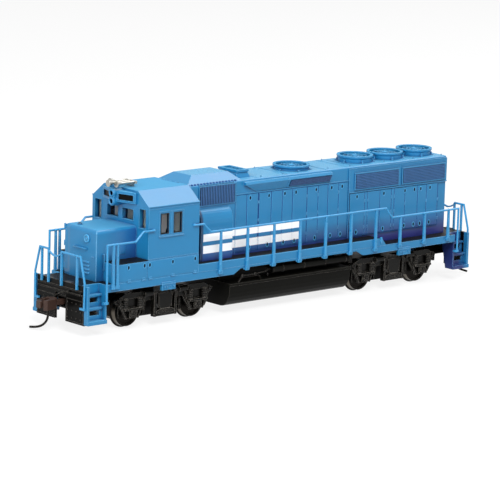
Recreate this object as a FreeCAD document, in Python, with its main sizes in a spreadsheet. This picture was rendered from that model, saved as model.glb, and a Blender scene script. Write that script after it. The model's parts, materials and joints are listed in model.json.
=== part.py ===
import FreeCAD, Part
import math
import os
import Sketcher

# HO scale model of a four axle road switcher diesel locomotive, in millimetres.
# +X points forward, to the short hood. +Y is the locomotive's left and +Z is up.
# The origin is at the middle of the wheelbase, at the lowest point of the wheel flanges.

os.makedirs("parts", exist_ok=True)
doc = FreeCAD.newDocument("locomotive")
doc.UndoMode = 0

# Driving dimensions
SIZES = {
    # running gear
    "truck_centre": 59.5,
    "truck_wheelbase": 31.5,
    "wheel_radius": 5.83,
    "flange_depth": 0.6,
    "flange_width": 0.8,
    "tread_width": 2.0,
    "back_to_back": 14.4,
    "axle_radius": 1.2,
    "bearing_gap": 0.05,
    "gearbox_half_width": 5.6,
    "gearbox_low": 2.6,
    "gearbox_top": 12.6,
    "gearbox_overhang": 4.6,
    "bolster_half_length": 4.2,
    "bolster_top": 16.5,
    "king_pin_radius": 2.5,
    "king_pin_gap": 0.05,
    "sideframe_inner": 11.6,
    "sideframe_plate": 0.9,
    "sideframe_rib": 0.8,
    "journal_face": 14.4,
    "sideframe_half_length": 23.2,
    "pedestal_foot": 4.2,
    "beam_low": 10.4,
    "beam_top": 13.4,
    "spring_radius": 1.0,
    "spring_offset": 3.4,
    "journal_half_width": 1.9,
    "journal_cap_radius": 1.5,
    "journal_step": 0.5,
    "hanger_offset": 5.0,
    "hanger_half_width": 0.5,
    "hanger_low": 3.6,
    "brake_radius": 1.15,
    # frame and walkways
    "deck_top": 19.3,
    "deck_thickness": 1.0,
    "deck_end": 98.0,
    "sill_half_width": 17.2,
    "sill_thickness": 0.8,
    "sill_low": 16.5,
    "sill_mid_low": 18.5,
    "sill_end": 90.0,
    "sill_notch_front": 28.9,
    "sill_notch_rear": 38.8,
    "sill_notch_slope": 3.5,
    "raised_top": 22.2,
    "raised_rear": 51.3,
    "raised_slope": 2.3,
    "jack_pad_low": 14.4,
    "jack_pad_length": 6.6,
    "jack_pad_proud": 0.4,
    "underframe_half_width": 12.0,
    "underframe_low": 16.6,
    "spine_half_width": 9.0,
    "tank_front": 29.2,
    "tank_rear": 33.7,
    "tank_top": 12.4,
    "tank_low": 3.1,
    "tank_half_width": 15.4,
    "tank_waist": 10.2,
    "tank_foot_half_width": 10.4,
    "tank_lip": 0.5,
    "reservoir_radius": 1.5,
    "reservoir_height": 15.6,
    "reservoir_offset": 14.4,
    "reservoir_front": 7.0,
    "reservoir_rear": 33.0,
    # ends
    "pilot_thickness": 1.0,
    "pilot_half_width": 14.4,
    "pilot_low": 4.4,
    "slot_half_width": 3.2,
    "slot_top": 14.6,
    "step_outer": 16.4,
    "step_inner": 11.6,
    "step_plate": 0.7,
    "step_low": 4.8,
    "step_depth": 2.6,
    "step_first": 3.6,
    "step_pitch": 4.75,
    "step_shift": 1.1,
    "step_lip": 0.5,
    "riser_margin": 1.2,
    "step_plate_inner": 9.4,
    "step_plate_foot": 12.2,
    "draft_box_rear": 86.6,
    "draft_box_half_width": 3.1,
    "draft_box_low": 8.8,
    "draft_box_top": 13.6,
    "draft_box_wall": 0.6,
    "coupler_pivot": 89.4,
    "coupler_height": 11.2,
    "shank_half_width": 1.1,
    "shank_half_height": 0.9,
    "pivot_post_radius": 0.8,
    "pivot_gap": 0.08,
    "shank_length": 12.6,
    "head_length": 7.0,
    "head_half_height": 1.9,
    "lug_thickness": 0.5,
    "knuckle_gap": 0.12,
    "trip_pin_radius": 0.4,
    # hoods
    "hood_half_width": 10.2,
    "hood_top": 51.2,
    "hood_rear": 90.2,
    "hood_wall": 1.2,
    "hood_edge_round": 0.8,
    "roof_hatch_top": 54.3,
    "roof_hatch_half_width": 5.3,
    "roof_hatch_front": 41.3,
    "roof_hatch_rear": 23.1,
    "roof_hatch_slope": 3.6,
    "blister_front": 19.0,
    "blister_rear": 26.0,
    "blister_low": 46.2,
    "blister_proud": 1.7,
    "blister_brow": 49.5,
    "blister_bevel": 6.4,
    "radiator_front": 36.1,
    "radiator_proud": 0.5,
    "radiator_low": 41.0,
    "duct_front": 42.4,
    "duct_rear": 26.6,
    "duct_top": 41.8,
    "duct_proud": 3.0,
    "duct_shoulder": 36.4,
    "nose_front": 90.2,
    "nose_half_width": 9.9,
    "nose_top": 38.6,
    "nose_round": 1.6,
    "nose_door_width": 3.8,
    "nose_door_set": 0.6,
    "ledge_low": 45.6,
    "ledge_top": 46.0,
    "ledge_proud": 0.3,
    "ledge_front": 23.0,
    "lip_low": 40.7,
    "lip_proud": 0.8,
    "boss_offset": 4.4,
    "boss_height": 34.9,
    "boss_radius": 0.9,
    "weight_clearance": 0.7,
    "weight_top": 46.0,
    # cab
    "cab_front": 71.2,
    "cab_rear": 46.6,
    "cab_half_width": 17.05,
    "cab_base": 26.7,
    "cab_eave": 46.5,
    "cab_roof": 51.9,
    "roof_half_width": 10.2,
    "cab_wall": 1.3,
    "cab_front_wall": 2.2,
    "side_pane_rear": 55.1,
    "side_pane_front": 61.4,
    "side_pane_length": 4.1,
    "side_pane_low": 35.8,
    "side_pane_top": 43.7,
    "shield_inner": 1.2,
    "shield_outer": 7.9,
    "shield_low": 40.1,
    "shield_top": 44.4,
    "tall_pane_inner": 11.4,
    "tall_pane_outer": 15.4,
    "tall_pane_low": 38.0,
    "tall_pane_top": 45.4,
    "pane_thickness": 0.6,
    "battery_front": 86.8,
    "battery_corner": 0.9,
    "tread_plate": 0.3,
    # roof gear
    "fan_radius": 7.4,
    "fan_throat": 6.9,
    "fan_bore": 6.2,
    "fan_height": 2.7,
    "brake_fan_height": 1.9,
    "fan_rim": 0.6,
    "fan_floor": 0.4,
    "fan_spoke_depth": 0.5,
    "fan_hub_radius": 1.7,
    "brake_fan_x": 14.4,
    "radiator_fan_first": 48.6,
    "radiator_fan_pitch": 16.4,
    "stack_front": 18.4,
    "stack_rear": 13.0,
    "stack_half_width": 6.0,
    "stack_height": 3.0,
    "stack_flare": 0.8,
    "stack_step": 0.9,
    "stack_collar": 0.5,
    "stack_wall": 0.8,
    "horn_length": 10.8,
    "horn_overhang": 6.2,
    "horn_radius": 1.35,
    "lamp_radius": 1.25,
    "lamp_depth": 1.2,
    "lamp_case": 1.75,
    "lamp_low": 46.9,
    "lamp_high": 50.0,
    "rear_lamp_drop": 1.0,
    "rear_lamp_proud": 1.8,
    "lens_gap": 0.1,
    "lens_depth": 0.7,
    "board_case_half_width": 9.8,
    "board_case_side": 0.8,
    "board_case_nose": 3.6,
    "board_case_low": 46.8,
    "board_case_top": 51.0,
    "board_inner": 2.1,
    "board_outer": 9.0,
    "board_low": 47.6,
    "board_top": 50.1,
    "board_recess": 0.6,
    "board_thickness": 0.25,
    # handrails
    "rail_radius": 0.42,
    "stanchion_width": 0.7,
    "stanchion_root": 1.15,
    "stanchion_depth": 0.8,
    "stanchion_foot_width": 1.7,
    "stanchion_foot_height": 1.3,
    "stanchion_foot": 17.6,
    "stanchion_first": 36.1,
    "stanchion_pitch": 13.5,
    "rail_high": 34.4,
    "rail_low": 30.3,
    "end_rail_height": 30.2,
    "rail_cab_rise": 3.4,
    "rail_drop_foot": 12.2,
    # grilles
    "grille_proud": 0.3,
    "radiator_grille_front": 39.2,
    "radiator_grille_length": 23.5,
    "radiator_grille_pitch": 26.0,
    "radiator_grille_low": 42.1,
    "radiator_grille_top": 48.1,
    "brake_grille_front": 4.1,
    "brake_grille_rear": 25.4,
    "intake_grille_front": 41.2,
    "intake_grille_rear": 23.7,
    "intake_grille_low": 43.2,
    "intake_grille_top": 50.3,
}


class Length:
    """A size that carries its number and the sheet's formula that it comes from."""

    def __init__(self, value, text):
        self.value = float(value)
        self.text = text

    def __add__(self, other):
        other = length(other)
        return Length(self.value + other.value, "(%s + %s)" % (self.text, other.text))

    def __sub__(self, other):
        other = length(other)
        return Length(self.value - other.value, "(%s - %s)" % (self.text, other.text))

    def __mul__(self, other):
        other = length(other)
        return Length(self.value * other.value, "(%s * %s)" % (self.text, other.text))

    def __truediv__(self, other):
        other = length(other)
        return Length(self.value / other.value, "(%s / %s)" % (self.text, other.text))

    def __neg__(self):
        return Length(-self.value, "(0 - %s)" % self.text)

    def __radd__(self, other):
        return length(other) + self

    def __rsub__(self, other):
        return length(other) - self

    def __rmul__(self, other):
        return length(other) * self


def length(item):
    if isinstance(item, Length):
        return item
    return Length(item, repr(float(item)))


class Sheet:
    """The driving dimensions by name, kept in a spreadsheet of the document."""

    def __init__(self, sizes):
        cells = doc.addObject("Spreadsheet::Sheet", "Sizes")
        for row, (name, value) in enumerate(sizes.items(), start=1):
            cells.set("A%d" % row, name)
            cells.set("B%d" % row, str(value))
            cells.setAlias("B%d" % row, name)
            setattr(self, name, Length(value, "Sizes." + name))


s = Sheet(SIZES)
doc.recompute()
nodes = []


# Helpers for solids bound to the sheet

def bind(item, prop, size):
    size = length(size)
    if "Sizes" in size.text:
        item.setExpression(prop, size.text)
    return size.value


def place(item, x=0, y=0, z=0, turn=0):
    """Puts a piece at a point, turned about +Z by an angle in degrees."""
    item.Placement = FreeCAD.Placement(
        FreeCAD.Vector(length(x).value, length(y).value, length(z).value),
        FreeCAD.Rotation(FreeCAD.Vector(0, 0, 1), length(turn).value),
    )
    bind(item, "Placement.Base.x", x)
    bind(item, "Placement.Base.y", y)
    bind(item, "Placement.Base.z", z)


def node(item, name):
    item.Label = name
    nodes.append(item)
    return item


def new_body(name):
    return doc.addObject("PartDesign::Body", name)


def origin_plane(body, plane):
    for feature in body.Origin.OriginFeatures:
        if feature.Role == plane + "_Plane":
            return feature
    raise ValueError(plane)


def sketch_on(body, plane, offset):
    sketch = body.newObject("Sketcher::SketchObject", body.Name + "_sketch")
    sketch.AttachmentSupport = (origin_plane(body, plane), [""])
    sketch.MapMode = "FlatFace"
    offset = length(offset)
    sketch.AttachmentOffset = FreeCAD.Placement(
        FreeCAD.Vector(0, 0, offset.value), FreeCAD.Rotation()
    )
    bind(sketch, "AttachmentOffset.Base.z", offset)
    return sketch


def fix_point(sketch, geometry, corner, u, v):
    for kind, size in (("DistanceX", u), ("DistanceY", v)):
        size = length(size)
        index = sketch.addConstraint(
            Sketcher.Constraint(kind, -1, 1, geometry, corner, size.value)
        )
        bind(sketch, "Constraints[%d]" % index, size)


def draw_loop(sketch, points):
    """Draws a closed outline of straight edges, with each corner fixed by its sizes."""
    values = [FreeCAD.Vector(length(u).value, length(v).value, 0) for u, v in points]
    count = len(points)
    lines = []
    for i in range(count):
        line = Part.LineSegment(values[i], values[(i + 1) % count])
        lines.append(sketch.addGeometry(line, False))
    for i in range(count):
        sketch.addConstraint(
            Sketcher.Constraint("Coincident", lines[i], 2, lines[(i + 1) % count], 1)
        )
    for i, (u, v) in enumerate(points):
        fix_point(sketch, lines[i], 1, u, v)


def draw_circle(sketch, u, v, radius):
    radius = length(radius)
    centre = FreeCAD.Vector(length(u).value, length(v).value, 0)
    circle = Part.Circle(centre, FreeCAD.Vector(0, 0, 1), radius.value)
    index = sketch.addGeometry(circle, False)
    fix_point(sketch, index, 3, u, v)
    fixed = sketch.addConstraint(Sketcher.Constraint("Radius", index, radius.value))
    bind(sketch, "Constraints[%d]" % fixed, radius)


def draw(sketch, shapes):
    for shape in shapes:
        if len(shape) == 3 and not isinstance(shape[0], tuple):
            draw_circle(sketch, *shape)
        else:
            draw_loop(sketch, shape)


def rectangle(u_low, u_high, v_low, v_high):
    return [(u_low, v_low), (u_high, v_low), (u_high, v_high), (u_low, v_high)]


def pad(body, plane, shapes, low, high):
    """Adds a prism of the shapes drawn on a plane, from low to high along its axis."""
    low = length(low)
    high = length(high)
    sketch = sketch_on(body, plane, -high if plane == "XZ" else low)
    draw(sketch, shapes)
    feature = body.newObject("PartDesign::Pad", body.Name + "_pad")
    feature.Profile = sketch
    feature.Type = "Length"
    feature.Length = (high - low).value
    bind(feature, "Length", high - low)
    return feature


def pocket(body, plane, shapes, low, high):
    """Cuts a prism of the shapes drawn on a plane, from low to high along its axis."""
    low = length(low)
    high = length(high)
    sketch = sketch_on(body, plane, -low if plane == "XZ" else high)
    draw(sketch, shapes)
    feature = body.newObject("PartDesign::Pocket", body.Name + "_pocket")
    feature.Profile = sketch
    feature.Type = "Length"
    feature.Length = (high - low).value
    bind(feature, "Length", high - low)
    return feature


def revolve(body, plane, shapes, axis):
    """Turns the shapes drawn on a plane about one of the sketch's own axes."""
    sketch = sketch_on(body, plane, 0)
    draw(sketch, shapes)
    feature = body.newObject("PartDesign::Revolution", body.Name + "_turned")
    feature.Profile = sketch
    feature.ReferenceAxis = (sketch, [axis])
    feature.Angle = 360.0
    return feature


def loft(body, low_shape, low, high_shape, high):
    """Joins an outline at one height to another outline above it."""
    lower = sketch_on(body, "XY", low)
    draw(lower, [low_shape])
    upper = sketch_on(body, "XY", high)
    draw(upper, [high_shape])
    feature = body.newObject("PartDesign::AdditiveLoft", body.Name + "_loft")
    feature.Profile = lower
    feature.Sections = [upper]
    feature.Ruled = True
    return feature


def round_edges(body, radius, wanted):
    """Rounds the edges of the body's tip that the test picks by their middle and ends."""
    doc.recompute()
    base = body.Tip
    names = []
    for i, edge in enumerate(base.Shape.Edges, start=1):
        if wanted(edge):
            names.append("Edge%d" % i)
    feature = body.newObject("PartDesign::Fillet", body.Name + "_round")
    feature.Base = (base, names)
    feature.Radius = length(radius).value
    bind(feature, "Radius", radius)
    return feature


def box(name, x, y, z):
    """A box from pairs of low and high sizes along the three axes."""
    item = doc.addObject("Part::Box", name)
    for prop, (low, high) in zip(("Length", "Width", "Height"), (x, y, z)):
        size = length(high) - length(low)
        setattr(item, prop, size.value)
        bind(item, prop, size)
    place(item, x[0], y[0], z[0])
    return item


AXIS_TURN = {
    "x": FreeCAD.Rotation(FreeCAD.Vector(0, 1, 0), 90),
    "y": FreeCAD.Rotation(FreeCAD.Vector(1, 0, 0), -90),
    "z": FreeCAD.Rotation(),
}


def rod(name, axis, radius, low, high, x=0, y=0, z=0):
    """A cylinder along one axis from low to high, centred on the two other sizes."""
    item = doc.addObject("Part::Cylinder", name)
    item.Radius = length(radius).value
    bind(item, "Radius", radius)
    size = length(high) - length(low)
    item.Height = size.value
    bind(item, "Height", size)
    centre = {"x": x, "y": y, "z": z}
    centre[axis] = low
    place(item, centre["x"], centre["y"], centre["z"])
    item.Placement.Rotation = AXIS_TURN[axis]
    return item


def cone(name, axis, radius_low, radius_high, low, high, x=0, y=0, z=0):
    item = doc.addObject("Part::Cone", name)
    item.Radius1 = length(radius_low).value
    bind(item, "Radius1", radius_low)
    item.Radius2 = length(radius_high).value
    bind(item, "Radius2", radius_high)
    size = length(high) - length(low)
    item.Height = size.value
    bind(item, "Height", size)
    centre = {"x": x, "y": y, "z": z}
    centre[axis] = low
    place(item, centre["x"], centre["y"], centre["z"])
    item.Placement.Rotation = AXIS_TURN[axis]
    return item


def fuse(name, items):
    item = doc.addObject("Part::MultiFuse", name)
    item.Shapes = items
    return item


def cut(name, base, tool):
    item = doc.addObject("Part::Cut", name)
    item.Base = base
    item.Tool = tool
    return item


def group(name, items):
    """Like pieces that do not touch, kept as one node."""
    item = doc.addObject("Part::Compound", name)
    item.Links = items
    return item


def side_span(side, low, high):
    """A span across the locomotive, mirrored for the right hand side."""
    if side > 0:
        return (length(low), length(high))
    return (-length(high), -length(low))


def end_span(sign, low, high):
    """A span along the locomotive, mirrored for the rear end."""
    if sign > 0:
        return (length(low), length(high))
    return (-length(high), -length(low))


# A rail or pin of round section along straight runs

def tube(body, plane, offset, points, radius, start_axis):
    """Sweeps a circle along a line of points drawn on a plane."""
    path = sketch_on(body, plane, -offset if plane == "XZ" else offset)
    values = [FreeCAD.Vector(length(u).value, length(v).value, 0) for u, v in points]
    lines = []
    for i in range(len(points) - 1):
        line = Part.LineSegment(values[i], values[i + 1])
        lines.append(path.addGeometry(line, False))
    for i in range(len(lines) - 1):
        path.addConstraint(Sketcher.Constraint("Coincident", lines[i], 2, lines[i + 1], 1))
    for i, (u, v) in enumerate(points[:-1]):
        fix_point(path, lines[i], 1, u, v)
    fix_point(path, lines[-1], 2, points[-1][0], points[-1][1])
    u, v = points[0]
    if plane == "XZ":
        if start_axis == "z":
            profile = sketch_on(body, "XY", v)
            draw_circle(profile, u, offset, radius)
        else:
            profile = sketch_on(body, "YZ", u)
            draw_circle(profile, offset, v, radius)
    elif plane == "YZ":
        if start_axis == "z":
            profile = sketch_on(body, "XY", v)
            draw_circle(profile, offset, u, radius)
        else:
            profile = sketch_on(body, "XZ", -length(u))
            draw_circle(profile, offset, v, radius)
    feature = body.newObject("PartDesign::AdditivePipe", body.Name + "_pipe")
    feature.Profile = profile
    feature.Spine = path
    feature.Transition = "Right corner"
    return feature


# Chassis

AXLE_HEIGHT = s.wheel_radius + s.flange_depth
DECK_LOW = s.deck_top - s.deck_thickness
SILL_INNER = s.sill_half_width - s.sill_thickness
HALF_WHEELBASE = s.truck_wheelbase / 2


def make_underframe():
    plate = box(
        "underframe_plate",
        (-s.deck_end, s.deck_end),
        (-s.underframe_half_width + 1.0, s.underframe_half_width - 1.0),
        (s.underframe_low, DECK_LOW),
    )
    spine = box(
        "underframe_spine",
        (-s.tank_rear, s.tank_front),
        (-s.spine_half_width, s.spine_half_width),
        (s.tank_top, s.underframe_low),
    )
    ends = []
    for sign in (1, -1):
        span = (s.draft_box_rear, s.deck_end)
        if sign < 0:
            span = (-s.deck_end, -s.draft_box_rear)
        ends.append(
            box(
                "draft_pad",
                span,
                (-s.draft_box_half_width, s.draft_box_half_width),
                (s.draft_box_top, s.underframe_low),
            )
        )
    solid = fuse("underframe_solid", [plate, spine] + ends)
    bores = [
        rod(
            "king_bore",
            "z",
            s.king_pin_radius + s.king_pin_gap,
            s.underframe_low - 1.0,
            DECK_LOW,
            x=sign * s.truck_centre,
        )
        for sign in (1, -1)
    ]
    node(cut("underframe", solid, fuse("king_bores", bores)), "underframe")


def make_deck():
    body = new_body("walkway_deck")
    outline = [
        (-s.deck_end, -s.step_inner),
        (-s.sill_end, -s.step_inner),
        (-s.sill_end, -SILL_INNER),
        (s.sill_end, -SILL_INNER),
        (s.sill_end, -s.step_inner),
        (s.deck_end, -s.step_inner),
        (s.deck_end, s.step_inner),
        (s.sill_end, s.step_inner),
        (s.sill_end, SILL_INNER),
        (-s.sill_end, SILL_INNER),
        (-s.sill_end, s.step_inner),
        (-s.deck_end, s.step_inner),
    ]
    pad(body, "XY", [outline], DECK_LOW, s.deck_top)
    node(body, "walkway_deck")


def make_raised_walkway():
    body = new_body("raised_walkway")
    outline = [
        (-s.raised_rear, s.deck_top),
        (s.cab_rear, s.deck_top),
        (s.cab_rear, s.raised_top),
        (-s.raised_rear + s.raised_slope, s.raised_top),
    ]
    pad(body, "XZ", [outline], s.hood_half_width, SILL_INNER)
    node(body, "raised_walkway")


def make_sill(side, name):
    body = new_body(name)
    top = [(-s.sill_end, s.deck_top), (s.sill_end, s.deck_top)]
    if side > 0:
        top = [
            (-s.sill_end, s.deck_top),
            (-s.raised_rear, s.deck_top),
            (-s.raised_rear + s.raised_slope, s.raised_top),
            (s.cab_rear, s.raised_top),
            (s.cab_rear, s.deck_top),
            (s.sill_end, s.deck_top),
        ]
    outline = top + [
        (s.sill_end, s.sill_low),
        (s.sill_notch_front, s.sill_low),
        (s.sill_notch_front - s.sill_notch_slope, s.sill_mid_low),
        (-s.sill_notch_rear + s.sill_notch_slope, s.sill_mid_low),
        (-s.sill_notch_rear, s.sill_low),
        (-s.sill_end, s.sill_low),
    ]
    low, high = side_span(side, SILL_INNER, s.sill_half_width)
    pad(body, "XZ", [outline], low, high)
    half = s.jack_pad_length / 2
    pads = []
    for sign in (1, -1):
        middle = sign * (s.truck_centre + 1.8)
        pads.append(rectangle(middle - half, middle + half, s.jack_pad_low, s.sill_low + 1.0))
    low, high = side_span(side, SILL_INNER, s.sill_half_width + s.jack_pad_proud)
    pad(body, "XZ", pads, low, high)
    node(body, name)


def make_tank():
    """The sides hang straight to the waist and then curve in to a flat foot."""
    body = new_body("fuel_tank")
    right = [
        (s.tank_half_width + s.tank_lip, s.tank_top),
        (s.tank_half_width + s.tank_lip, s.tank_top - s.tank_lip),
        (s.tank_half_width, s.tank_top - s.tank_lip),
    ]
    turns = 6
    for i in range(turns + 1):
        angle = math.pi / 2 * i / turns
        out = s.tank_foot_half_width + (s.tank_half_width - s.tank_foot_half_width) * math.cos(angle)
        right.append((out, s.tank_waist - (s.tank_waist - s.tank_low) * math.sin(angle)))
    section = right + [(-y, z) for y, z in reversed(right)]
    pad(body, "YZ", [section], -s.tank_rear, s.tank_front)
    node(body, "fuel_tank")


def make_reservoirs():
    items = []
    for side in (1, -1):
        barrel = rod(
            "reservoir",
            "x",
            s.reservoir_radius,
            -s.reservoir_rear,
            s.reservoir_front,
            y=side * s.reservoir_offset,
            z=s.reservoir_height,
        )
        straps = []
        for x in (-s.reservoir_rear + 3.0, s.reservoir_front - 4.0):
            span = side_span(side, s.spine_half_width, s.reservoir_offset)
            straps.append(
                box(
                    "reservoir_strap",
                    (x, x + 1.2),
                    span,
                    (s.reservoir_height - 0.6, s.reservoir_height + 0.6),
                )
            )
        items.append(fuse("reservoir_side", [barrel] + straps))
    node(group("air_reservoirs", items), "air_reservoirs")


def make_weight():
    node(
        box(
            "chassis_weight",
            (-s.hood_rear + s.hood_wall + s.weight_clearance, s.cab_rear - 2.0),
            (
                -s.hood_half_width + s.hood_wall + s.weight_clearance,
                s.hood_half_width - s.hood_wall - s.weight_clearance,
            ),
            (s.deck_top, s.weight_top),
        ),
        "chassis_weight",
    )


# Pilots and steps

def make_pilot(sign, name):
    body = new_body(name)
    outline = [
        (-s.pilot_half_width, s.pilot_low),
        (-s.slot_half_width, s.pilot_low),
        (-s.slot_half_width, s.slot_top),
        (s.slot_half_width, s.slot_top),
        (s.slot_half_width, s.pilot_low),
        (s.pilot_half_width, s.pilot_low),
        (s.pilot_half_width, s.deck_top),
        (-s.pilot_half_width, s.deck_top),
    ]
    pad(body, "YZ", [outline], 0, s.pilot_thickness)
    for height in (s.deck_top - 2.4, s.deck_top - 4.0):
        ridge = rectangle(-s.pilot_half_width + 0.6, s.pilot_half_width - 0.6, height, height + 0.5)
        pad(body, "YZ", [ridge], s.pilot_thickness, s.pilot_thickness + 0.4)
    place(body, sign * s.deck_end, turn=0 if sign > 0 else 180)
    node(body, name)


def make_steps(sign, side, name):
    """A corner step: end plates, treads further out as they go down, two risers half open."""
    plate = s.step_plate
    end = s.deck_end + s.pilot_thickness
    rise = (s.step_low, s.deck_top)
    inner_plate = new_body("inner_plate")
    shape = [
        (side * s.step_plate_inner, s.underframe_low),
        (side * s.step_inner, s.underframe_low),
        (side * s.step_inner, s.deck_top),
        (side * s.step_outer, s.deck_top),
        (side * s.step_outer, s.step_low),
        (side * s.step_plate_foot, s.step_low),
    ]
    span = end_span(sign, s.sill_end, s.sill_end + plate)
    pad(inner_plate, "YZ", [shape], span[0], span[1])
    items = [
        inner_plate,
        box(
            "end_plate",
            end_span(sign, s.deck_end, end),
            side_span(side, s.pilot_half_width, s.step_outer),
            rise,
        ),
        box(
            "lip",
            end_span(sign, s.sill_end, end),
            side_span(side, s.step_outer, s.step_outer + s.step_lip),
            (s.step_low, s.step_low + 1.4),
        ),
    ]
    above = s.deck_top
    for i in range(3):
        top = s.deck_top - s.step_first - s.step_pitch * i
        inner = s.step_inner + s.step_shift * i
        items.append(
            box(
                "tread",
                end_span(sign, s.sill_end, s.deck_end),
                side_span(side, inner, inner + s.step_depth),
                (top - plate, top),
            )
        )
        riser = box(
            "riser",
            end_span(sign, s.sill_end + plate, s.deck_end),
            side_span(side, inner, inner + plate),
            (top, above),
        )
        if i == 0:
            items.append(riser)
        else:
            hole = box(
                "riser_hole",
                end_span(sign, s.sill_end + plate + s.riser_margin, s.deck_end - s.riser_margin),
                side_span(side, inner, inner + plate),
                (above - s.step_pitch / 2, above - s.step_lip),
            )
            items.append(cut("open_riser", riser, hole))
        above = top - plate
    node(fuse(name, items), name)


def make_draft_box(sign, name):
    low = s.draft_box_rear
    high = s.deck_end
    outer = box(
        "draft_box_outer",
        (low, high) if sign > 0 else (-high, -low),
        (-s.draft_box_half_width, s.draft_box_half_width),
        (s.draft_box_low, s.draft_box_top),
    )
    inner_low = low + s.draft_box_wall
    inner = box(
        "draft_box_inner",
        (inner_low, high) if sign > 0 else (-high, -inner_low),
        (-s.draft_box_half_width + s.draft_box_wall, s.draft_box_half_width - s.draft_box_wall),
        (s.draft_box_low + s.draft_box_wall, s.draft_box_top - s.draft_box_wall),
    )
    post = rod(
        "draft_post",
        "z",
        s.pivot_post_radius,
        s.draft_box_low,
        s.draft_box_top,
        x=sign * s.coupler_pivot,
    )
    node(fuse(name, [cut("draft_box_shell", outer, inner), post]), name)


# Couplers, modelled about their pivot and facing +X

def make_coupler(sign, end):
    height = s.shank_half_height
    body = new_body("coupler_" + end)
    eye = s.pivot_post_radius + 0.9
    pad(body, "XY", [(0, 0, eye)], -height, height)
    shank = rectangle(0, s.shank_length, -s.shank_half_width, s.shank_half_width)
    pad(body, "XY", [shank], -height, height)
    pocket(body, "XY", [(0, 0, s.pivot_post_radius + s.pivot_gap)], -height, height)
    x = s.shank_length
    casting = [
        (x - 0.6, s.shank_half_width),
        (x + 0.8, 2.5),
        (x + s.head_length - 1.6, 3.3),
        (x + s.head_length - 0.2, 2.7),
        (x + 3.4, 1.5),
        (x + 2.2, 0.6),
        (x + 2.2, -1.1),
        (x + 0.9, -2.6),
        (x - 0.6, -s.shank_half_width),
    ]
    pad(body, "XY", [casting], -s.head_half_height, s.head_half_height)
    pivot_x = x + 2.9
    pivot_y = -2.2
    lug = [(x + 0.9, -0.9), (x + 3.6, -1.0), (x + 3.9, -2.4), (x + 3.2, -3.1), (x + 0.9, -2.6)]
    top = s.head_half_height
    pad(body, "XY", [lug], top - s.lug_thickness, top)
    pad(body, "XY", [lug], -top, -top + s.lug_thickness)
    pad(body, "XY", [(pivot_x, pivot_y, 0.45)], -top, top)
    place(body, sign * s.coupler_pivot, 0, s.coupler_height, 0 if sign > 0 else 180)
    node(body, "coupler_" + end)

    knuckle = new_body("knuckle_" + end)
    limit = s.head_half_height - s.lug_thickness - s.knuckle_gap
    claw = [
        (x + 2.35, -0.9),
        (x + 4.6, -1.0),
        (x + 5.6, -0.8),
        (x + 5.9, 0.9),
        (x + 6.9, 0.9),
        (x + s.head_length, -1.6),
        (x + 6.0, -2.9),
        (x + 3.4, -3.1),
        (x + 2.35, -2.6),
    ]
    pad(knuckle, "XY", [claw], -limit, limit)
    pocket(knuckle, "XY", [(pivot_x, pivot_y, 0.45 + s.pivot_gap)], -limit, limit)
    place(knuckle, sign * s.coupler_pivot, 0, s.coupler_height, 0 if sign > 0 else 180)
    node(knuckle, "knuckle_" + end)

    pin = new_body("trip_pin_" + end)
    start = -s.head_half_height
    route = [
        (-0.8, start),
        (-0.8, start - 3.0),
        (-1.6, start - 5.4),
        (-3.4, start - 7.2),
        (-6.0, start - 8.1),
        (-8.6, start - 8.4),
    ]
    tube(pin, "YZ", x + 1.9, route, s.trip_pin_radius, "z")
    place(pin, sign * s.coupler_pivot, 0, s.coupler_height, 0 if sign > 0 else 180)
    node(pin, "trip_pin_" + end)


# Trucks, modelled about their own centre

def make_truck(sign, end):
    turn = 0 if sign > 0 else 180
    centre = sign * s.truck_centre
    reach = HALF_WHEELBASE + s.gearbox_overhang
    body = new_body("truck_frame_" + end)
    section = [
        (-reach, s.gearbox_low + 1.6),
        (-reach + 2.0, s.gearbox_low),
        (reach - 2.0, s.gearbox_low),
        (reach, s.gearbox_low + 1.6),
        (reach, s.gearbox_top - 2.4),
        (reach - 3.0, s.gearbox_top),
        (-reach + 3.0, s.gearbox_top),
        (-reach, s.gearbox_top - 2.4),
    ]
    pad(body, "XZ", [section], -s.gearbox_half_width, s.gearbox_half_width)
    bolster = rectangle(-s.bolster_half_length, s.bolster_half_length, -s.sideframe_inner, s.sideframe_inner)
    pad(body, "XY", [bolster], s.beam_low, s.gearbox_top)
    pad(body, "XY", [(0, 0, s.bolster_half_length)], s.gearbox_top, s.bolster_top)
    pad(body, "XY", [(0, 0, s.king_pin_radius)], s.bolster_top, DECK_LOW - 0.1)
    bores = [
        (x, AXLE_HEIGHT, s.axle_radius + s.bearing_gap)
        for x in (-HALF_WHEELBASE, HALF_WHEELBASE)
    ]
    pocket(body, "XZ", bores, -s.gearbox_half_width, s.gearbox_half_width)
    place(body, centre, turn=turn)
    node(body, "truck_frame_" + end)
    for side, word in ((sign, "left"), (-sign, "right")):
        make_sideframe(centre, turn, side, "sideframe_%s_%s" % (end, word))
    for where, offset in (("outer", HALF_WHEELBASE), ("inner", -HALF_WHEELBASE)):
        make_wheelset(centre + sign * offset, "wheelset_%s_%s" % (end, where))


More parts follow.
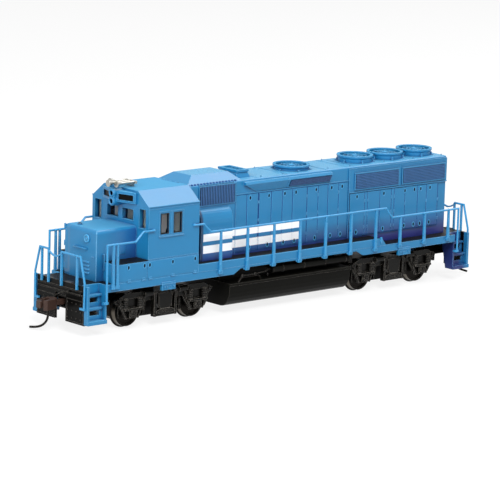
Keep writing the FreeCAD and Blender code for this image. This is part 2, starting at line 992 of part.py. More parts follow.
def make_sideframe(centre, turn, side, name):
    """One side of the truck: a beam with splayed pedestals, journals, springs and a swing hanger."""
    body = new_body(name)
    axle = HALF_WHEELBASE
    end = s.sideframe_half_length
    low = s.pedestal_foot
    under = s.beam_low
    top = s.beam_top
    base = s.sideframe_inner
    face = base + s.sideframe_plate
    rib = face + s.sideframe_rib
    half = [
        (s.hanger_offset, under),
        (axle - 6.6, under - 0.4),
        (axle - 3.1, low),
        (axle + 3.1, low),
        (axle + 5.6, under - 0.8),
        (end, under - 0.1),
        (end, top - 1.9),
        (end - 1.6, top - 0.8),
        (axle + 3.2, top + 0.6),
        (axle - 5.8, top + 0.6),
        (axle - 7.7, top),
    ]
    outline = half + [(-u, v) for u, v in reversed(half)]
    pad(body, "XZ", [outline], *side_span(side, base, face))
    beam = [
        (axle + 5.0, top - 1.6),
        (end, top - 1.9),
        (end - 1.6, top - 0.8),
        (axle + 3.2, top + 0.6),
        (axle - 5.8, top + 0.6),
        (axle - 7.7, top),
    ]
    beam_low = [(-axle - 5.0, top - 1.6), (-axle + 7.7, top - 1.4), (axle - 7.7, top - 1.4)]
    ridge = beam + [(-u, v) for u, v in reversed(beam[1:])] + beam_low
    pad(body, "XZ", [ridge], *side_span(side, face, rib))
    legs = []
    for hub in (-axle, axle):
        for way in (-1, 1):
            legs.append(
                [
                    (hub + way * 5.4, top - 1.6),
                    (hub + way * 2.6, low),
                    (hub + way * 3.1, low),
                    (hub + way * 6.4, top - 1.6),
                ]
            )
    pad(body, "XZ", legs, *side_span(side, face, rib))
    hubs = (-axle, axle)
    half_box = s.journal_half_width
    boxes = [
        rectangle(hub - half_box, hub + half_box, AXLE_HEIGHT - half_box, AXLE_HEIGHT + half_box)
        for hub in hubs
    ]
    pad(body, "XZ", boxes, *side_span(side, face, s.journal_face - s.journal_step))
    caps = [(hub, AXLE_HEIGHT, s.journal_cap_radius) for hub in hubs]
    pad(body, "XZ", caps, *side_span(side, face, s.journal_face))
    wing_low = AXLE_HEIGHT + 1.2
    wing_reach = s.spring_offset + s.spring_radius
    wings = [rectangle(hub - wing_reach, hub + wing_reach, wing_low, wing_low + 0.8) for hub in hubs]
    pad(body, "XZ", wings, *side_span(side, face, face + s.spring_radius * 2))
    spring_y = side * (face + s.spring_radius - 0.2)
    springs = [
        (hub + way * s.spring_offset, spring_y, s.spring_radius) for hub in hubs for way in (-1, 1)
    ]
    pad(body, "XY", springs, wing_low, top - 1.2)
    hanger = s.hanger_offset
    wide = s.hanger_half_width
    bars = [
        rectangle(way * hanger - wide, way * hanger + wide, s.hanger_low, top - 0.6)
        for way in (-1, 1)
    ]
    pad(body, "XZ", bars, *side_span(side, base, rib + 0.4))
    plank = rectangle(-hanger - wide, hanger + wide, s.hanger_low, s.hanger_low + 0.8)
    pad(body, "XZ", [plank], *side_span(side, base, rib))
    leaves = [
        (-hanger + 0.6, low + 0.7),
        (-2.2, low + 0.1),
        (2.2, low + 0.1),
        (hanger - 0.6, low + 0.7),
        (hanger - 0.6, low + 1.5),
        (2.2, low + 2.3),
        (-2.2, low + 2.3),
        (-hanger + 0.6, low + 1.5),
    ]
    pad(body, "XZ", [leaves], *side_span(side, base + 0.3, rib + 0.5))
    seat = [
        (-2.0, low + 2.2),
        (2.0, low + 2.2),
        (3.2, low + 4.0),
        (3.2, top - 1.0),
        (-3.2, top - 1.0),
        (-3.2, low + 4.0),
    ]
    pad(body, "XZ", [seat], *side_span(side, base, rib + 0.3))
    brake_y = side * (face + s.brake_radius - 0.3)
    for way in (-1, 1):
        low_x = way * (axle - 7.4) - 2.0
        cylinder = [(brake_y, top - 0.4, s.brake_radius)]
        pad(body, "YZ", cylinder, low_x, low_x + 4.0)
    place(body, centre, turn=turn)
    node(body, name)


def make_wheelset(x, name):
    """Two flanged wheels on one axle, turned about the axle's own line."""
    body = new_body(name)
    inner = s.back_to_back / 2
    outer = inner + s.flange_width + s.tread_width
    flange = s.wheel_radius + s.flange_depth
    half = [
        (s.axle_radius, inner),
        (flange - 0.25, inner),
        (flange, inner + 0.3),
        (s.wheel_radius, inner + s.flange_width),
        (s.wheel_radius - 0.12, outer),
        (s.wheel_radius - 0.9, outer),
        (s.wheel_radius - 1.1, outer - 0.7),
        (s.axle_radius + 1.0, outer - 0.7),
        (s.axle_radius + 0.8, outer + 0.2),
    ]
    profile = [(0, -outer - 0.2)] + [(u, -v) for u, v in reversed(half)] + half + [(0, outer + 0.2)]
    revolve(body, "XY", [profile], "V_Axis")
    place(body, x, 0, AXLE_HEIGHT)
    node(body, name)


# Hoods

def make_long_hood():
    body = new_body("long_hood")
    section = rectangle(-s.hood_half_width, s.hood_half_width, s.deck_top, s.hood_top)
    pad(body, "YZ", [section], -s.hood_rear, s.cab_rear)
    round_edges(
        body,
        s.hood_edge_round,
        lambda e: is_along(e, 0) and e.BoundBox.ZMin > s.hood_top.value - 0.01,
    )
    for side in (1, -1):
        add_blister(body, side)
        low, high = side_span(side, s.hood_half_width, s.hood_half_width + s.radiator_proud)
        radiator = rectangle(
            -s.hood_rear, -s.radiator_front, s.radiator_low, s.hood_top - s.hood_edge_round
        )
        pad(body, "XZ", [radiator], low, high)
        lip = rectangle(-s.hood_rear, -s.radiator_front, s.lip_low, s.radiator_low + 0.1)
        pad(body, "XZ", [lip], *side_span(side, s.hood_half_width, s.hood_half_width + s.lip_proud))
        ledge = rectangle(-s.radiator_front, s.ledge_front, s.ledge_low, s.ledge_top)
        pad(
            body, "XZ", [ledge], *side_span(side, s.hood_half_width, s.hood_half_width + s.ledge_proud)
        )
    loft(
        body,
        rectangle(
            s.roof_hatch_rear - s.roof_hatch_slope,
            s.cab_rear,
            -s.hood_half_width + s.hood_edge_round,
            s.hood_half_width - s.hood_edge_round,
        ),
        s.hood_top,
        rectangle(
            s.roof_hatch_rear,
            s.roof_hatch_front,
            -s.roof_hatch_half_width,
            s.roof_hatch_half_width,
        ),
        s.roof_hatch_top,
    )
    hollow = rectangle(
        -s.hood_half_width + s.hood_wall,
        s.hood_half_width - s.hood_wall,
        s.deck_top,
        s.hood_top - s.hood_wall,
    )
    pocket(body, "YZ", [hollow], -s.hood_rear + s.hood_wall, s.cab_rear - s.hood_wall)
    node(body, "long_hood")


def blister_section(side):
    """The brake blister's section: a brow under the roof edge and a face that leans in below."""
    base = s.hood_half_width
    brow = s.blister_brow
    return [
        (side * (base - 0.1), s.hood_top - s.hood_edge_round),
        (side * (base + s.blister_proud * 0.65), s.hood_top - s.hood_edge_round),
        (side * (base + s.blister_proud), brow),
        (side * (base + 0.2), s.blister_low),
        (side * (base - 0.1), s.blister_low),
    ]


def add_blister(body, side):
    pad(body, "YZ", [blister_section(side)], -s.blister_rear, s.blister_front)
    base = s.hood_half_width
    bevel = [
        (s.blister_front - s.blister_bevel, s.blister_low),
        (s.blister_front, s.blister_low),
        (s.blister_front, s.blister_brow - 0.3),
    ]
    pocket(body, "XZ", [bevel], *side_span(side, base, base + s.blister_proud + 0.1))


def is_along(edge, axis):
    ends = [v.Point for v in edge.Vertexes]
    if len(ends) != 2:
        return False
    span = ends[1] - ends[0]
    return abs(abs(span[axis]) - span.Length) < 1e-6


def make_short_hood():
    body = new_body("short_hood")
    outline = [
        (s.cab_front, -s.nose_half_width),
        (s.nose_front - s.nose_door_set, -s.nose_half_width),
        (s.nose_front, -s.nose_half_width + s.nose_door_width),
        (s.nose_front, s.nose_half_width),
        (s.cab_front, s.nose_half_width),
    ]
    pad(body, "XY", [outline], s.deck_top, s.nose_top)
    round_edges(
        body,
        s.nose_round,
        lambda e: e.BoundBox.ZMin > s.nose_top.value - 0.01
        and e.BoundBox.XMax > s.cab_front.value + 0.1,
    )
    inner = [
        (s.cab_front, -s.nose_half_width + s.hood_wall),
        (s.nose_front - s.nose_door_set - s.hood_wall, -s.nose_half_width + s.hood_wall),
        (s.nose_front - s.hood_wall, -s.nose_half_width + s.nose_door_width),
        (s.nose_front - s.hood_wall, s.nose_half_width - s.hood_wall),
        (s.cab_front, s.nose_half_width - s.hood_wall),
    ]
    pocket(body, "XY", [inner], s.deck_top, s.nose_top - s.nose_round)
    boss = (s.boss_offset, s.boss_height, s.boss_radius)
    pad(body, "YZ", [boss], s.nose_front - 0.3, s.nose_front + 0.4)
    node(body, "short_hood")


def make_duct():
    body = new_body("blower_duct")
    base = s.hood_half_width
    out = base + s.duct_proud
    shoulder = s.duct_shoulder
    rise = s.duct_top - shoulder
    curve = []
    steps = 6
    for i in range(steps + 1):
        turn = math.pi / 2 * i / steps
        curve.append((base + s.duct_proud * math.cos(turn), shoulder + rise * math.sin(turn)))
    section = [(base, s.raised_top), (out, s.raised_top)] + curve
    pad(body, "YZ", [section], s.duct_rear, s.duct_front)
    node(body, "blower_duct")


def make_side_grilles(name, spans, rise, face):
    """Grille panels that stand a little proud on both sides of the hood."""
    items = []
    for side in (1, -1):
        for front, rear in spans:
            depth = side_span(side, face, face + s.grille_proud)
            items.append(box(name + "_panel", (rear, front), depth, rise))
    node(group(name, items), name)


def make_brake_grilles():
    """Grilles laid on the leaning faces of the brake blister."""
    items = []
    base = s.hood_half_width
    lean = (s.blister_proud - 0.2) / (s.blister_brow - s.blister_low)
    low = s.blister_low + 0.5
    high = s.blister_brow - 0.4
    for side in (1, -1):
        inner_low = base + 0.2 + lean * (low - s.blister_low)
        inner_high = base + 0.2 + lean * (high - s.blister_low)
        panel = [
            (side * inner_low, low),
            (side * (inner_low + s.grille_proud), low),
            (side * (inner_high + s.grille_proud), high),
            (side * inner_high, high),
        ]
        body = new_body("brake_grille")
        pad(body, "YZ", [panel], -s.brake_grille_rear, -s.brake_grille_front)
        items.append(body)
    node(group("brake_grilles", items), "brake_grilles")


# Cab

SIDE_PANES = (
    (s.side_pane_rear, s.side_pane_rear + s.side_pane_length),
    (s.side_pane_front, s.side_pane_front + s.side_pane_length),
)
SIDE_PANE_HEIGHT = (s.side_pane_low, s.side_pane_top)
SHIELD_SPAN = (s.shield_inner, s.shield_outer)
SHIELD_HEIGHT = (s.shield_low, s.shield_top)
TALL_SPAN = (s.tall_pane_inner, s.tall_pane_outer)
TALL_HEIGHT = (s.tall_pane_low, s.tall_pane_top)


def make_cab():
    body = new_body("cab")
    section = [
        (-s.cab_half_width, s.cab_base),
        (s.cab_half_width, s.cab_base),
        (s.cab_half_width, s.cab_eave),
        (s.roof_half_width, s.cab_roof),
        (-s.roof_half_width, s.cab_roof),
        (-s.cab_half_width, s.cab_eave),
    ]
    pad(body, "YZ", [section], s.cab_rear, s.cab_front)
    inside = [
        (-s.cab_half_width + s.cab_wall, s.cab_base),
        (s.cab_half_width - s.cab_wall, s.cab_base),
        (s.cab_half_width - s.cab_wall, s.cab_eave - s.cab_wall / 2),
        (s.roof_half_width - s.cab_wall / 2, s.cab_roof - s.cab_wall),
        (-s.roof_half_width + s.cab_wall / 2, s.cab_roof - s.cab_wall),
        (-s.cab_half_width + s.cab_wall, s.cab_eave - s.cab_wall / 2),
    ]
    pocket(body, "YZ", [inside], s.cab_rear + s.cab_wall, s.cab_front - s.cab_front_wall)
    panes = [rectangle(a, b, *SIDE_PANE_HEIGHT) for a, b in SIDE_PANES]
    pocket(body, "XZ", panes, -s.cab_half_width, s.cab_half_width)
    front = []
    rear = []
    for side in (1, -1):
        front.append(rectangle(*side_span(side, *SHIELD_SPAN), *SHIELD_HEIGHT))
        front.append(rectangle(*side_span(side, *TALL_SPAN), *TALL_HEIGHT))
        rear.append(rectangle(*side_span(side, *TALL_SPAN), *TALL_HEIGHT))
    pocket(body, "YZ", front, s.cab_front - s.cab_front_wall, s.cab_front)
    pocket(body, "YZ", rear, s.cab_rear, s.cab_rear + s.cab_wall)
    node(body, "cab")


def make_panes():
    items = []
    inner = s.cab_half_width - s.cab_wall
    for side in (1, -1):
        for a, b in SIDE_PANES:
            items.append(
                box("pane", (a, b), side_span(side, inner, inner + s.pane_thickness), SIDE_PANE_HEIGHT)
            )
        front = s.cab_front - s.cab_front_wall
        rear = s.cab_rear + s.cab_wall
        span = (front, front + s.pane_thickness)
        items.append(box("pane", span, side_span(side, *SHIELD_SPAN), SHIELD_HEIGHT))
        items.append(box("pane", span, side_span(side, *TALL_SPAN), TALL_HEIGHT))
        items.append(
            box("pane", (rear - s.pane_thickness, rear), side_span(side, *TALL_SPAN), TALL_HEIGHT)
        )
    node(group("cab_windows", items), "cab_windows")


def make_battery_box(side, name):
    body = new_body(name)
    inner = s.nose_half_width
    low, high = side_span(side, inner, s.sill_half_width)
    outer_first = high if side > 0 else low
    inner_last = low if side > 0 else high
    corner = -s.battery_corner if side > 0 else s.battery_corner
    outline = [
        (s.cab_rear, inner_last),
        (s.battery_front, inner_last),
        (s.battery_front, outer_first + corner),
        (s.battery_front - s.battery_corner, outer_first),
        (s.cab_rear, outer_first),
    ]
    pad(body, "XY", [outline], s.deck_top, s.cab_base - s.tread_plate)
    node(body, name)


def make_treads():
    items = []
    for side in (1, -1):
        items.append(
            box(
                "battery_tread",
                (s.cab_front, s.battery_front - s.battery_corner),
                side_span(side, s.nose_half_width, s.sill_half_width),
                (s.cab_base - s.tread_plate, s.cab_base),
            )
        )
    node(group("battery_treads", items), "battery_treads")


def make_cab_floor():
    top = s.cab_base
    middle = box(
        "cab_floor_middle",
        (s.cab_rear, s.cab_front),
        (-s.nose_half_width, s.nose_half_width),
        (s.deck_top, top),
    )
    plate = box(
        "cab_floor_plate",
        (s.cab_rear, s.cab_front),
        (-s.cab_half_width, s.cab_half_width),
        (top - s.tread_plate, top),
    )
    node(fuse("cab_floor", [middle, plate]), "cab_floor")


# Roof gear and lights

def make_fan(name, x, base, height):
    """A fan shroud: a flared ring over a closed floor, with a hub carried on flat spokes."""
    body = new_body(name)
    under = height - s.fan_rim
    ring = [
        (0, 0),
        (s.fan_throat, 0),
        (s.fan_throat, under - 0.6),
        (s.fan_radius, under),
        (s.fan_radius, height),
        (s.fan_bore, height),
        (s.fan_bore, s.fan_floor),
        (0, s.fan_floor),
    ]
    revolve(body, "XZ", [ring], "V_Axis")
    pad(body, "XY", [(0, 0, s.fan_hub_radius)], 0, under)
    low = under - s.fan_spoke_depth
    spokes = 8
    for i in range(spokes // 2):
        angle = math.pi * i / (spokes // 2)
        reach = s.fan_bore + 0.1
        across = 0.22
        outline = []
        for way, half in ((-1, -across), (1, -across), (1, across), (-1, across)):
            outline.append(
                (
                    way * reach * math.cos(angle) - half * math.sin(angle),
                    way * reach * math.sin(angle) + half * math.cos(angle),
                )
            )
        pad(body, "XY", [outline], low, under)
    place(body, x, 0, base)
    node(body, name)


def make_stack():
    """The exhaust: a flared foot, a straight neck and a collar round a long open mouth."""
    body = new_body("exhaust_stack")
    flare = s.stack_flare
    half = s.stack_half_width
    low = s.hood_top
    neck = low + s.stack_height - s.stack_step
    top = low + s.stack_height
    loft(
        body,
        rectangle(s.stack_rear - flare, s.stack_front + flare, -half, half),
        low,
        rectangle(s.stack_rear, s.stack_front, -half + flare, half - flare),
        neck,
    )
    collar = s.stack_collar
    rim = rectangle(
        s.stack_rear - collar + 0.2,
        s.stack_front + collar - 0.2,
        -half + flare - collar,
        half - flare + collar,
    )
    pad(body, "XY", [rim], neck, top)
    wall = s.stack_wall
    mouth = rectangle(
        s.stack_rear + wall, s.stack_front - wall, -half + flare + wall, half - flare - wall
    )
    pocket(body, "XY", [mouth], top - 2.0, top)
    node(body, "exhaust_stack")


def make_horn():
    items = []
    bar_x = s.cab_front + s.horn_overhang - s.horn_length
    height = s.cab_roof + 1.9
    items.append(box("horn_foot", (bar_x - 0.6, bar_x + 0.6), (-1.6, 1.6), (s.cab_roof, s.cab_roof + 1.2)))
    items.append(box("horn_bar", (bar_x - 0.5, bar_x + 0.5), (-3.4, 3.4), (s.cab_roof + 1.2, height + 0.4)))
    for y, share in ((-2.7, 0.72), (0.0, 1.0), (2.7, 0.84)):
        reach = s.horn_length * share
        items.append(
            cone("horn_throat", "x", 0.42, 0.6, bar_x, bar_x + reach - 2.4, y=y, z=height)
        )
        items.append(
            cone(
                "horn_bell", "x", 0.6, s.horn_radius, bar_x + reach - 2.4, bar_x + reach, y=y, z=height
            )
        )
    node(fuse("horn", items), "horn")


def case_depth(across):
    """How far the number board case reaches forward at a distance from the middle."""
    side = s.board_case_side
    half = s.board_case_half_width
    return side + (s.board_case_nose - side) * (half - across) / half


def case_outline(recess):
    """The case in plan: a blunt wedge, with the places for the number boards set back."""
    face = s.cab_front
    corners = [
        (face, s.board_case_half_width),
        (face + s.board_case_side, s.board_case_half_width),
    ]
    if recess:
        for across, back in (
            (s.board_outer, 0),
            (s.board_outer, s.board_recess),
            (s.board_inner, s.board_recess),
            (s.board_inner, 0),
        ):
            corners.append((face + case_depth(across) - back, across))
    middle = [(face + s.board_case_nose, 0)]
    return corners + middle + [(u, -v) for u, v in reversed(corners)]


def add_lamps(body, low, high, face, front, side):
    """Two round lamp cases one above the other, joined by a web, each with a hollow for its lens."""
    start, end = (face, front) if side > 0 else (front, face)
    for height in (low, high):
        pad(body, "YZ", [(0, height, s.lamp_case)], start, end)
    half = s.lamp_case - 0.4
    pad(body, "YZ", [rectangle(-half, half, low, high)], start, end)
    hollow = (front - s.lamp_depth, front) if side > 0 else (front, front + s.lamp_depth)
    lamps = [(0, height, s.lamp_radius) for height in (low, high)]
    pocket(body, "YZ", lamps, *hollow)


def make_front_headlight():
    body = new_body("headlight_front")
    pad(body, "XY", [case_outline(False)], s.board_case_low, s.board_low)
    pad(body, "XY", [case_outline(True)], s.board_low, s.board_top)
    pad(body, "XY", [case_outline(False)], s.board_top, s.board_case_top)
    front = s.cab_front + s.board_case_nose + 0.8
    add_lamps(body, s.lamp_low, s.lamp_high, s.cab_front, front, 1)
    node(body, "headlight_front")
    boards = new_body("number_boards")
    shapes = []
    for side in (1, -1):
        corners = []
        inner = s.board_inner + 0.1
        outer = s.board_outer - 0.1
        for across, proud in (
            (outer, 0),
            (outer, s.board_thickness),
            (inner, s.board_thickness),
            (inner, 0),
        ):
            depth = case_depth(across) - s.board_recess + proud
            corners.append((s.cab_front + depth, side * across))
        shapes.append(corners)
    pad(boards, "XY", shapes, s.board_low + 0.1, s.board_top - 0.1)
    node(boards, "number_boards")


def make_rear_headlight():
    body = new_body("headlight_rear")
    face = -s.hood_rear
    drop = s.rear_lamp_drop
    add_lamps(body, s.lamp_low - drop, s.lamp_high - drop, face, face - s.rear_lamp_proud, -1)
    node(body, "headlight_rear")


def make_lenses():
    items = []
    radius = s.lamp_radius - s.lens_gap
    face = s.cab_front + s.board_case_nose + 0.8 - s.lamp_depth
    for z in (s.lamp_low, s.lamp_high):
        items.append(rod("lens", "x", radius, face, face + s.lens_depth, z=z))
    face = -s.hood_rear - s.rear_lamp_proud + s.lamp_depth
    for z in (s.lamp_low, s.lamp_high):
        height = z - s.rear_lamp_drop
        items.append(rod("lens", "x", radius, face - s.lens_depth, face, z=height))
    node(group("lamp_lenses", items), "lamp_lenses")


# Handrails

RAIL_OUT = s.sill_half_width + s.stanchion_depth / 2


def rail_tube(name, side, points, start_axis):
    body = new_body(name)
    offset = RAIL_OUT if side > 0 else -RAIL_OUT
    tube(body, "XZ", offset, points, s.rail_radius, start_axis)
    return body


def make_posts(side, name, spots):
    """Flat stanchions that taper upwards, each with a foot on the side sill."""
    body = new_body(name)
    foot = s.stanchion_foot_width / 2
    root = s.stanchion_root / 2
    tip = s.stanchion_width / 2
    low = s.stanchion_foot
    step = low + s.stanchion_foot_height
    shapes = []
    for x, top in spots:
        shapes.append(
            [
                (x - foot, low),
                (x + foot, low),
                (x + foot, step),
                (x + root, step),
                (x + tip, top),
                (x - tip, top),
                (x - root, step),
                (x - foot, step),
            ]
        )
    face = s.sill_half_width
    pad(body, "XZ", shapes, *side_span(side, face, face + s.stanchion_depth))
    return body


def make_handrail(side, name):
    rail_z = s.rail_high if side > 0 else s.rail_low
    foot = s.rail_drop_foot
    over = s.rail_high + s.rail_cab_rise
    drop = s.rail_cab_rise + 0.3
    front = [
        (s.cab_front - 2.2, over),
        (s.cab_front + 2.9, over),
        (s.cab_front + 6.5, s.rail_high),
        (s.sill_end + 1.0, s.rail_high),
        (s.sill_end + 1.0, foot),
    ]
    knob_x = s.cab_rear + 2.6
    rear = [
        (knob_x, over),
        (s.cab_rear - 1.7, over),
        (s.cab_rear - 1.7 - drop - (s.rail_high - rail_z), rail_z),
    ]
    if side > 0:
        rear += [
            (-s.raised_rear + 1.2, s.rail_high),
            (-s.raised_rear - 2.4, s.rail_low),
        ]
    rear += [(-s.sill_end - 1.0, s.rail_low), (-s.sill_end - 1.0, foot)]
    items = [
        rail_tube(name + "_front", side, front, "x"),
        rail_tube(name + "_rear", side, rear, "x"),
    ]
    reach = side_span(side, s.cab_half_width, RAIL_OUT)
    for x in (s.cab_front - 2.2, knob_x):
        items.append(rod("knob", "y", s.rail_radius, reach[0], reach[1], x=x, z=over))
    for x in (s.sill_end, -s.sill_end - s.step_plate):
        items.append(
            box(
                "rail_foot",
                (x, x + s.step_plate + 1.4) if x is s.sill_end else (x - 1.4, x + s.step_plate),
                side_span(side, s.step_outer, RAIL_OUT),
                (foot, foot + 0.8),
            )
        )
    spots = [(s.battery_front - 0.6, s.rail_high), (s.battery_front + 1.3, s.rail_high)]
    for i in range(10):
        spots.append((s.stanchion_first - s.stanchion_pitch * i, rail_z if i < 7 else s.rail_low))
    items.append(make_posts(side, name + "_posts", spots))
    node(fuse(name, items), name)


def make_end_rail(sign, name):
    """Hoop at each side, four posts on the pilot and a drooping chain between the middle two."""
    face = s.deck_end + s.pilot_thickness
    rail_x = s.stanchion_depth / 2
    top = s.end_rail_height
    posts = (-11.0, -6.9, 1.0, 10.4)
    far = [(-14.9, 10.4), (-15.1, 20.5), (-12.3, top), (posts[1], top)]
    near = [(14.9, 10.4), (15.1, 20.5), (12.3, top), (posts[2], top)]
    items = []
    for label, route in (("far", far), ("near", near)):
        body = new_body(name + "_" + label)
        tube(body, "YZ", rail_x, route, s.rail_radius, "z")
        items.append(body)
    half = s.stanchion_width / 2
    for y in posts:
        items.append(
            box("end_post", (0, s.stanchion_depth), (y - half, y + half), (s.deck_top - 1.8, top))
        )
    for y in (-14.9, 14.9):
        inner = (y - 0.4, -12.6) if y < 0 else (12.6, y + 0.4)
        items.append(box("hoop_foot", (0, s.stanchion_depth), inner, (10.4, 11.2)))
    chain = new_body(name + "_chain")
    sag = [
        (posts[1], top - 0.4),
        (posts[1] + 2.2, top - 1.5),
        (posts[1] + 4.0, top - 1.9),
        (posts[2] - 2.2, top - 1.5),
        (posts[2], top - 0.4),
        (posts[2], top - 1.0),
        (posts[2] - 2.2, top - 2.1),
        (posts[1] + 4.0, top - 2.5),
        (posts[1] + 2.2, top - 2.1),
        (posts[1], top - 1.0),
    ]
    pad(chain, "YZ", [sag], 0.1, s.stanchion_depth - 0.1)
    items.append(chain)
    rail = fuse(name, items)
    place(rail, sign * face, turn=0 if sign > 0 else 180)
    node(rail, name)


def make_everything():
    make_underframe()
    make_deck()
    make_raised_walkway()
    for side, word in ((1, "left"), (-1, "right")):
        make_sill(side, "side_sill_" + word)
        make_battery_box(side, "battery_box_" + word)
        make_handrail(side, "handrail_" + word)
    make_tank()
    make_reservoirs()
    make_weight()
    for sign, end in ((1, "front"), (-1, "rear")):
        make_pilot(sign, "pilot_" + end)
        make_draft_box(sign, "draft_box_" + end)
        make_coupler(sign, end)
        make_truck(sign, end)
        make_end_rail(sign, "end_rail_" + end)
        for side, word in ((1, "left"), (-1, "right")):
            make_steps(sign, side, "steps_%s_%s" % (end, word))
    make_long_hood()
    make_short_hood()
    make_duct()
    first = -s.radiator_grille_front
    second = first - s.radiator_grille_pitch
    make_side_grilles(
        "radiator_grilles",
        (
            (first, first - s.radiator_grille_length),
            (second, second - s.radiator_grille_length),
        ),
        (s.radiator_grille_low, s.radiator_grille_top),
        s.hood_half_width + s.radiator_proud,
    )
    make_brake_grilles()
    make_side_grilles(
        "intake_grilles",
        ((s.intake_grille_front, s.intake_grille_rear),),
        (s.intake_grille_low, s.intake_grille_top),
        s.hood_half_width,
    )
    make_cab()
    make_panes()
    make_treads()
    make_cab_floor()
    make_fan("brake_fan", -s.brake_fan_x, s.hood_top, s.brake_fan_height)
    for i, word in enumerate(("front", "middle", "rear")):
        x = -s.radiator_fan_first - s.radiator_fan_pitch * i
        make_fan("radiator_fan_" + word, x, s.hood_top, s.fan_height)
    make_stack()
    make_horn()
    make_front_headlight()
    make_rear_headlight()
    make_lenses()


make_everything()
doc.recompute()

# Nothing is written unless every feature and every piece is sound
faults = []
for item in doc.Objects:
    if "Invalid" in item.State or "Error" in item.State:
        faults.append("%s: %s" % (item.Name, item.State))
for item in nodes:
    if item.Shape.isNull() or not item.Shape.isValid() or not item.Shape.Solids:
        faults.append("%s has no sound shape" % item.Label)
if faults:
    raise RuntimeError("; ".join(faults))

for item in nodes:
    item.Shape.exportStep("parts/%s.step" % item.Label)
    print(item.Label, len(item.Shape.Solids), round(item.Shape.Volume, 1))
print(len(nodes), "nodes")
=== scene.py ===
# %% [markdown]
# # A model railway diesel locomotive, dressed in Blender
# The solids of this locomotive were built to size in a CAD program, and they come in here as a
# fixed frame. This script gives them their paint, plastic, metal and glass, and adds the small
# things that are too fine for the frame: door seams and latches, louvres, gaskets, bolts and wire.
# Everything is in metres, so most sizes below are written in millimetres and multiplied by MM.

# %% Load the frame
import bpy
import bmesh
import json
import math
from mathutils import Matrix, Vector


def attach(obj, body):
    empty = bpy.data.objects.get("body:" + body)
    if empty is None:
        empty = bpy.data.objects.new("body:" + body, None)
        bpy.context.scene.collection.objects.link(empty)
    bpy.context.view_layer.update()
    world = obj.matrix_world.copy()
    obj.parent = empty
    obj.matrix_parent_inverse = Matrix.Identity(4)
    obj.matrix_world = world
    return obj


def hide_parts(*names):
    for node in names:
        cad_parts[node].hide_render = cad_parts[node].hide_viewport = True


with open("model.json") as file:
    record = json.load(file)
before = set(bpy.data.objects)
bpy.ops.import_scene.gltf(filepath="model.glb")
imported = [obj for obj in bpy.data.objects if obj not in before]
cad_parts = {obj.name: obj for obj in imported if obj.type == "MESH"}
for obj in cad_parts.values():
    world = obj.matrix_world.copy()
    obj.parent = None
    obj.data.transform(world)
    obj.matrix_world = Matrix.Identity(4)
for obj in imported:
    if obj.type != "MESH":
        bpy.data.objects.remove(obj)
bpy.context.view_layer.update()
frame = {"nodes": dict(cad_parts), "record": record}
MM = 0.001
print("frame loaded with", len(frame["nodes"]), "nodes")

# %% [markdown]
# ## The camera
# A model this small is photographed from a long way off with a long lens, so its far end looks
# almost as large as its near end. The camera could be placed by eye, but its place, turn and
# focal length were worked out from the lengths of known edges, so that shapes can be compared.

# %% The camera
CAMERA_AT = Vector((764.0, 864.7, 247.4)) * MM
CAMERA_YAW = -2.2906
CAMERA_PITCH = -0.1947
CAMERA_ROLL = 0.0279
LENS = 215.6
level = math.cos(CAMERA_PITCH)
ahead = Vector((math.cos(CAMERA_YAW) * level, math.sin(CAMERA_YAW) * level,
                math.sin(CAMERA_PITCH)))
unrolled = ahead.to_track_quat("-Z", "Y").to_matrix()
bpy.ops.object.camera_add(location=CAMERA_AT)
camera = bpy.context.object
camera.name = "studio_camera"
camera.data.lens = LENS
camera.data.clip_start = 0.05
camera.data.clip_end = 20
camera.rotation_euler = (unrolled @ Matrix.Rotation(CAMERA_ROLL, 3, "Z")).to_euler()
bpy.context.scene.camera = camera
print("camera is", round(CAMERA_AT.length, 2), "m away, with a", LENS, "mm lens")

# %% [markdown]
# ## Helpers for materials
# A material is a tree of nodes, and every node is added, set and linked in the same way. These
# helpers do it in one line, so that the recipes further down read as recipes. Wherever a helper
# takes a value, that is a number, a colour or the socket of another node.

# %% Helpers: nodes
def feed(tree, node, inputs):
    """Gives a node its values, and links those that come from another node's socket."""
    for key, value in dict(inputs).items():
        if isinstance(value, bpy.types.NodeSocket):
            tree.links.new(value, node.inputs[key])
        else:
            node.inputs[key].default_value = value
    return node


def node_at(tree, kind, inputs=(), **settings):
    node = tree.nodes.new("ShaderNode" + kind)
    for key, value in settings.items():
        setattr(node, key, value)
    return feed(tree, node, inputs)


def maths(tree, operation, *values):
    return node_at(tree, "Math", enumerate(values), operation=operation).outputs[0]


def product(tree, *values):
    result = values[0]
    for value in values[1:]:
        result = maths(tree, "MULTIPLY", result, value)
    return result


def ranged(tree, value, low, high, to_low=0.0, to_high=1.0):
    """Spreads a value from one range over another, and holds it at both ends."""
    ends = {"From Min": low, "From Max": high, "To Min": to_low, "To Max": to_high}
    return node_at(tree, "MapRange", {"Value": value, **ends}).outputs["Result"]


def mix_colours(tree, factor, first, second):
    mixed = node_at(tree, "Mix", {"Factor": factor, "A": first, "B": second}, data_type="RGBA")
    return mixed.outputs["Result"]


print("node helpers")

# %% Helpers: where a point is and which way it looks
def axes(tree, source):
    parts = node_at(tree, "SeparateXYZ", {0: source}).outputs
    return parts["X"], parts["Y"], parts["Z"]


def place_on(tree):
    """A point's place on its own piece, which goes with the piece when it moves."""
    return node_at(tree, "TexCoord").outputs["Object"]


def facing(tree, which="True Normal"):
    return axes(tree, node_at(tree, "NewGeometry").outputs[which])


def noise(tree, scale, detail):
    values = {"Vector": place_on(tree), "Scale": scale, "Detail": detail}
    return node_at(tree, "TexNoise", values).outputs["Fac"]


print("place and facing helpers")

